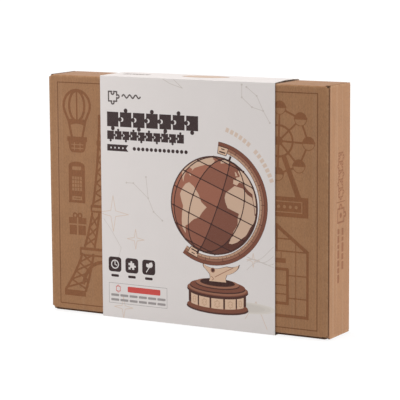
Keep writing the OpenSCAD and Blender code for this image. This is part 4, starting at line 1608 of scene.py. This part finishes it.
# %% Top wall
DEPTH_FLAT = Y_BACK - Y_FRONT - 2 * FOLD
top_path = FoldPath(
    (Y_FRONT + FOLD - HALF_FOLD, Z_HIGH - FOLD + HALF_FOLD), 45,
    [("fold", 45, FOLD), ("flat", DEPTH_FLAT), ("fold", 45, FOLD)],
)
end_path = FoldPath((X_TOP_END, Z_HIGH), 0, [("fold", 45, FOLD)])
end_strip = board_layers(
    end_path, over_the_end, rectangle(-Y_FLAP_BACK, -Y_FLAP_FRONT, 0, end_path.starts[1])
)
top_layers = board_layers(
    top_path, front_to_back, rectangle(-X_TOP_END, X_TOP_END, 0, top_path.starts[3])
)
make_piece(
    "top_wall_board", top_layers + end_strip + [mirrored(sheet, x=True) for sheet in end_strip],
    [kraft_x, shaded_kraft_edge], "box", ["top_wall"],
)
panel_medium("top_wall_flutes", top_path, 2 * X_TOP_END)

# %% Base, with the slots of the locking tabs
TAB_INSET, TAB_HALF = 60.0, 12.2
base_path = FoldPath(
    (Y_BACK - FOLD + HALF_FOLD, Z_HIGH - FOLD + HALF_FOLD), -45,
    [("fold", 45, FOLD), ("flat", Z_HIGH - Z_LOW - 2 * FOLD), ("fold", 45, FOLD)],
)
base_outline = stepped_outline(base_path, (X_TOP_END, X_OUT - FOLD, X_TOP_END))
SLOT_PLAY = 0.2
slot_inner, slot_outer = X_LINER_IN - SLOT_PLAY, X_LINER_IN + BOARD + SLOT_PLAY
slots = []
for height in (Z_HIGH - TAB_INSET, Z_LOW + TAB_INSET):
    s = base_path.starts[1] + Z_HIGH - FOLD - height
    for side in (-1, 1):
        low, high = sorted((side * slot_inner, side * slot_outer))
        slots.append(rectangle(low, high, s - TAB_HALF, s + TAB_HALF))
corner_path = FoldPath((X_OUT - FOLD, Y_BACK), 0, [("fold", 45, FOLD)])
corner_strip = board_layers(
    corner_path, round_the_end, rectangle(Z_LOW + FOLD, Z_HIGH - FOLD, 0, corner_path.starts[1])
)
make_piece(
    "base_board",
    board_layers(base_path, front_to_back, base_outline, holes=slots)
    + corner_strip + [mirrored(sheet, x=True) for sheet in corner_strip],
    [kraft_x, shaded_kraft_edge], "box", ["base_panel"],
)
panel_medium("base_flutes", base_path, 2 * (slot_inner - LINER))

# %% Bottom wall
bottom_path = FoldPath(
    (Y_BACK - FOLD + HALF_FOLD, Z_LOW + FOLD - HALF_FOLD), -135,
    [("fold", 45, FOLD), ("flat", Y_BACK - FOLD - Y_ROLL)],
)
bottom_layers = board_layers(
    bottom_path, front_to_back, rectangle(-X_TOP_END, X_TOP_END, 0, bottom_path.starts[2])
)
low_strip = [mirrored(sheet, z=True) for sheet in end_strip]
bottom_layers += low_strip + [mirrored(sheet, x=True) for sheet in low_strip]
make_piece(
    "bottom_wall_board", bottom_layers,
    [kraft_x, shaded_kraft_edge], "box", ["bottom_wall"],
)
panel_medium("bottom_wall_flutes", bottom_path, 2 * X_TOP_END)

# %% End walls
_, back_fold, front_fold, front_edge = wall_path.starts
STEP = BOARD + LAYER_GAP
wall_outline = [
    (Z_LOW + FOLD, 0), (Z_HIGH - FOLD, 0), (Z_HIGH - FOLD, back_fold),
    (Z_HIGH, back_fold), (Z_HIGH, front_fold),
    (Z_HIGH - STEP, front_fold), (Z_HIGH - STEP, front_edge),
    (Z_LOW + STEP, front_edge), (Z_LOW + STEP, front_fold),
    (Z_LOW, front_fold), (Z_LOW, back_fold), (Z_LOW + FOLD, back_fold),
]


def end_wall(side, sign):
    """One end wall. The left one is the mirror image of the right one."""
    layers = board_layers(wall_path, round_the_end, wall_outline, wall_art[side].shapes)
    if sign < 0:
        layers = [mirrored(sheet, x=True) for sheet in layers]
    make_piece(
        f"side_wall_{side}_board", layers, [kraft_y, shaded_kraft_edge], "box",
        [f"side_wall_{side}"],
    )

    def place(x, y, lift):
        across, deep = wall_path.place(back_fold + x, CORE + lift)
        return (sign * across, deep, Z_MID + y)

    medium(
        f"side_wall_{side}_flutes", front_fold - back_fold, Z_HIGH - Z_LOW - LINER, place
    )


end_wall("right", 1)
end_wall("left", -1)

# %% [markdown]
# ## Building the sleeve
#
# The sleeve is one strip of thin board, wrapped round the box and glued at the back. It is
# a little loose, so its long free edges don't lie dead flat: the top bows up at the right
# end. The bow is added to the depth of each point before the strip is folded.

# %% Sleeve
def top_bow(u, s):
    """How far the top of the sleeve stands up: most in the middle, at the right-hand edge."""
    run = (s - top_starts) / (2 * (Y_SLEEVE - PAPER_FOLD))
    if not 0 < run < 1:
        return 0.0
    share = max(0.0, (u - SLEEVE_X0) / (SLEEVE_X1 - SLEEVE_X0))
    return math.sin(run * math.pi) * (0.15 + 0.85 * share ** 2)


top_cuts = [(1, top_starts + 4.0 * k) for k in range(1, 12)]
top_cuts += [(0, SLEEVE_X0 + (SLEEVE_X1 - SLEEVE_X0) * k / 12) for k in range(1, 12)]
sleeve_outline = rectangle(SLEEVE_X0, SLEEVE_X1, 0, sleeve_path.starts[-1])
make_piece(
    "sleeve_printed",
    [folded_sheet(sleeve_path, front_to_back, sleeve_outline, (0.0, -PAPER), sleeve_shapes,
                  cuts=top_cuts, swell=top_bow)],
    [sleeve_paper, sleeve_edge], "sleeve",
    ["sleeve_front_panel", "sleeve_top_panel", "sleeve_back_panel", "sleeve_bottom_panel",
     "sleeve_glue_flap"],
)

# %% [markdown]
# ## Finishes of the parts inside
#
# The flaps that lock the box and the whole kit inside keep their shapes from the model, and
# get a finish each. The flaps are the same kraft board. Their cut edges are told from their
# faces by the direction of the surface, and are darkened with painted shade in stripes one
# flute apart, for the dark hollows of the flutes.

# %% Flaps of the mailer
def finish_nodes(names, material):
    """Gives CAD nodes a material in their own slots."""
    for name in names:
        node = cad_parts[name]
        for slot in node.material_slots:
            slot.material = material


SIDES = ("left", "right")
FLAPS = {
    ("X", "Y"): [f"side_rollover_{side}" for side in SIDES],
    ("Y", "X"): [f"side_liner_{side}" for side in SIDES],
    ("Z", "X"): [f"corner_flap_{end}_{side}" for end in ("top", "bottom") for side in SIDES]
    + [f"lid_ear_{side}" for side in SIDES],
    ("X", "Z"): ["lid_tuck_flap"],
}
for (across, face), names in FLAPS.items():
    label = f"kraft_flap_{across}_{face}".lower()
    finish_nodes(names, kraft_material(label, across, KRAFT_INSIDE, face=face))
print(sum(len(names) for names in FLAPS.values()), "flaps")

# %% [markdown]
# Plywood shows long grain on its faces and thin stripes of its plies on the edges, and a
# laser chars every edge that it cuts. The grain is a noise that is stretched along the
# sheet, in a group that the round dowels share.

# %% Wood grain group
grain_group, grain_in, grain_out = new_group(
    "Wood grain",
    [("Vector", VECTOR, None), ("Light", COLOUR, (0.68, 0.45, 0.24, 1.0)),
     ("Dark", COLOUR, (0.45, 0.25, 0.11, 1.0)), ("Stretch", VECTOR, (0.06, 1.0, 1.0))],
    [("Color", COLOUR), ("Height", VALUE)],
)
long_place = add_node(
    grain_group, "ShaderNodeVectorMath",
    {0: grain_in.outputs["Vector"], 1: grain_in.outputs["Stretch"]}, operation="MULTIPLY",
).outputs[0]
figure = add_node(
    grain_group, "ShaderNodeTexNoise",
    {"Vector": long_place, "Scale": 70.0, "Detail": 4.0, "Distortion": 0.8},
).outputs["Fac"]
pores = add_node(
    grain_group, "ShaderNodeTexNoise", {"Vector": long_place, "Scale": 1100.0, "Detail": 2.0}
).outputs["Fac"]
rings = maths(grain_group, "FRACT", maths(grain_group, "MULTIPLY", figure, 9.0))
mixed = maths(
    grain_group, "ADD", maths(grain_group, "MULTIPLY", rings, 0.55),
    maths(grain_group, "MULTIPLY", pores, 0.45), clamp=True,
)
wood = blend_colour(grain_group, mixed, grain_in.outputs["Light"], grain_in.outputs["Dark"])
grain_group.links.new(wood, grain_out.inputs["Color"])
grain_group.links.new(pores, grain_out.inputs["Height"])
print("group", grain_group.name, "with", len(grain_group.nodes), "nodes")

# %% Plywood and dowels
def plywood_material():
    """Basswood plywood: pale faces, charred edges with three plies."""
    material, tree, shader, place = new_material("laser_cut_plywood", 0.62, 0.3)
    wood = use_group(
        tree, grain_group,
        {"Vector": place, "Light": (0.66, 0.46, 0.27, 1.0), "Dark": (0.50, 0.31, 0.16, 1.0)},
    )
    coordinates = tree.nodes["Texture Coordinate"]
    normal = add_node(tree, "ShaderNodeSeparateXYZ", {0: coordinates.outputs["Normal"]})
    edge = maths(tree, "LESS_THAN", maths(tree, "ABSOLUTE", normal.outputs["Y"]), 0.5)
    depth = add_node(tree, "ShaderNodeSeparateXYZ", {0: place}).outputs["Y"]
    plies = maths(tree, "SINE", maths(tree, "MULTIPLY", depth, 2 * math.pi / 0.001))
    soot = add_node(
        tree, "ShaderNodeTexNoise", {"Vector": place, "Scale": 900.0, "Detail": 3.0}
    ).outputs["Fac"]
    stripes = maths(tree, "MULTIPLY", plies, 0.12)
    char = maths(tree, "ADD", stripes, maths(tree, "MULTIPLY", soot, 0.5))
    burnt = blend_colour(tree, char, (0.05, 0.024, 0.012, 1.0), (0.30, 0.15, 0.07, 1.0))
    surface = blend_colour(tree, edge, wood.outputs["Color"], burnt)
    finish_material(tree, shader, surface, wood.outputs["Height"], 0.00008)
    return material


def dowel_material():
    """Birch rods with their grain along their length."""
    material, tree, shader, place = new_material("birch_dowel", 0.5, 0.35)
    wood = use_group(
        tree, grain_group,
        {"Vector": place, "Light": (0.72, 0.52, 0.31, 1.0), "Dark": (0.58, 0.38, 0.20, 1.0),
         "Stretch": (0.025, 1.0, 1.0)},
    )
    finish_material(tree, shader, wood.outputs["Color"], wood.outputs["Height"], 0.00006)
    return material


sheet_nodes = [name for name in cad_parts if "_sheet_" in name]
finish_nodes(sheet_nodes, plywood_material())
finish_nodes(["dowel_rods"], dowel_material())
print(len(sheet_nodes), "sheet nodes")

# %% [markdown]
# The booklet is uncoated paper, whose edge shows the pages as fine lines. The carton is
# thin grey-brown card. The wax is smooth and slightly clear, and sandpaper is a field of
# hard grains, which a Voronoi texture draws both as colour and as bumps.

# %% Booklet and carton
def layered_paper(name, colour, axis, spacing):
    """Paper with the fine lines of its sheets across one axis, on its edges."""
    material, tree, shader, place = new_material(name, 0.75, 0.25)
    paper = use_group(tree, fibre, {"Vector": place, "Cloud": 0.05, "Grain": 0.12, "Flecks": 0.04})
    coordinates = tree.nodes["Texture Coordinate"]
    normal = add_node(tree, "ShaderNodeSeparateXYZ", {0: coordinates.outputs["Normal"]})
    edge = maths(tree, "LESS_THAN", maths(tree, "ABSOLUTE", normal.outputs[axis]), 0.5)
    along = add_node(tree, "ShaderNodeSeparateXYZ", {0: place}).outputs[axis]
    lines = maths(tree, "SINE", maths(tree, "MULTIPLY", along, 2 * math.pi / spacing))
    dip = maths(tree, "MULTIPLY", edge, maths(tree, "MULTIPLY", lines, 0.12))
    tone = maths(tree, "ADD", paper.outputs["Shade"], dip)
    finish_material(tree, shader, times(tree, colour_socket(tree, colour), tone), tone, 0.00006)
    return material


def card_material():
    """Grey-brown folding card."""
    material, tree, shader, place = new_material("carton_card", 0.8, 0.2)
    paper = use_group(tree, fibre, {"Vector": place, "Cloud": 0.12, "Grain": 0.4, "Flecks": 0.25})
    tone = times(tree, colour_socket(tree, (0.37, 0.235, 0.14, 1.0)), paper.outputs["Shade"])
    finish_material(tree, shader, tone, paper.outputs["Height"], 0.00006)
    return material


BOOKLET_WHITE = (0.78, 0.76, 0.71, 1.0)
booklet_paper = layered_paper("booklet_paper", BOOKLET_WHITE, "Y", spacing=0.0002)
finish_nodes(["booklet_cover", "booklet_pages"], booklet_paper)
finish_nodes(["accessory_tray", "accessory_cover"], card_material())
print("booklet and carton have", booklet_paper.name, "and card")

# %% Wax, sandpaper and staples
def wax_material():
    """White wax with a soft, cloudy skin."""
    material, tree, shader, place = new_material("wax_white", 0.35, 0.5)
    shader.inputs["Subsurface Weight"].default_value = 0.3
    shader.inputs["Subsurface Radius"].default_value = (0.004, 0.003, 0.002)
    clouds = add_node(
        tree, "ShaderNodeTexNoise", {"Vector": place, "Scale": 120.0, "Detail": 3.0}
    ).outputs["Fac"]
    colour = blend_colour(tree, clouds, (0.86, 0.82, 0.70, 1.0), (0.74, 0.69, 0.56, 1.0))
    roughness = maths(tree, "ADD", maths(tree, "MULTIPLY", clouds, 0.3), 0.25)
    tree.links.new(roughness, shader.inputs["Roughness"])
    finish_material(tree, shader, colour, clouds, 0.0001)
    return material


def sandpaper_material():
    """Rust-coloured grains on paper."""
    material, tree, shader, place = new_material("sandpaper_grit", 0.85, 0.4)
    grit = add_node(tree, "ShaderNodeTexVoronoi", {"Vector": place, "Scale": 3000.0})
    share = maths(tree, "MULTIPLY", grit.outputs["Distance"], 1.6, clamp=True)
    colour = blend_colour(tree, share, (0.42, 0.15, 0.06, 1.0), (0.16, 0.05, 0.03, 1.0))
    finish_material(tree, shader, colour, share, 0.0002)
    return material


def wire_material():
    """Drawn steel wire."""
    material, tree, shader, place = new_material("staple_steel_wire", 0.3, 0.5)
    shader.inputs["Metallic"].default_value = 1.0
    drawn = add_node(tree, "ShaderNodeMapping", {"Vector": place, "Scale": (1.0, 1.0, 0.05)})
    lines = add_node(
        tree, "ShaderNodeTexNoise", {"Vector": drawn.outputs[0], "Scale": 6000.0}
    ).outputs["Fac"]
    colour = blend_colour(tree, lines, (0.66, 0.66, 0.67, 1.0), (0.5, 0.5, 0.52, 1.0))
    roughness = maths(tree, "ADD", maths(tree, "MULTIPLY", lines, 0.25), 0.2)
    tree.links.new(roughness, shader.inputs["Roughness"])
    finish_material(tree, shader, colour, lines, 0.00002)
    return material


finish_nodes(["wax_block"], wax_material())
finish_nodes(["sandpaper"], sandpaper_material())
finish_nodes(["booklet_staples"], wire_material())
print("everything inside has its finish")
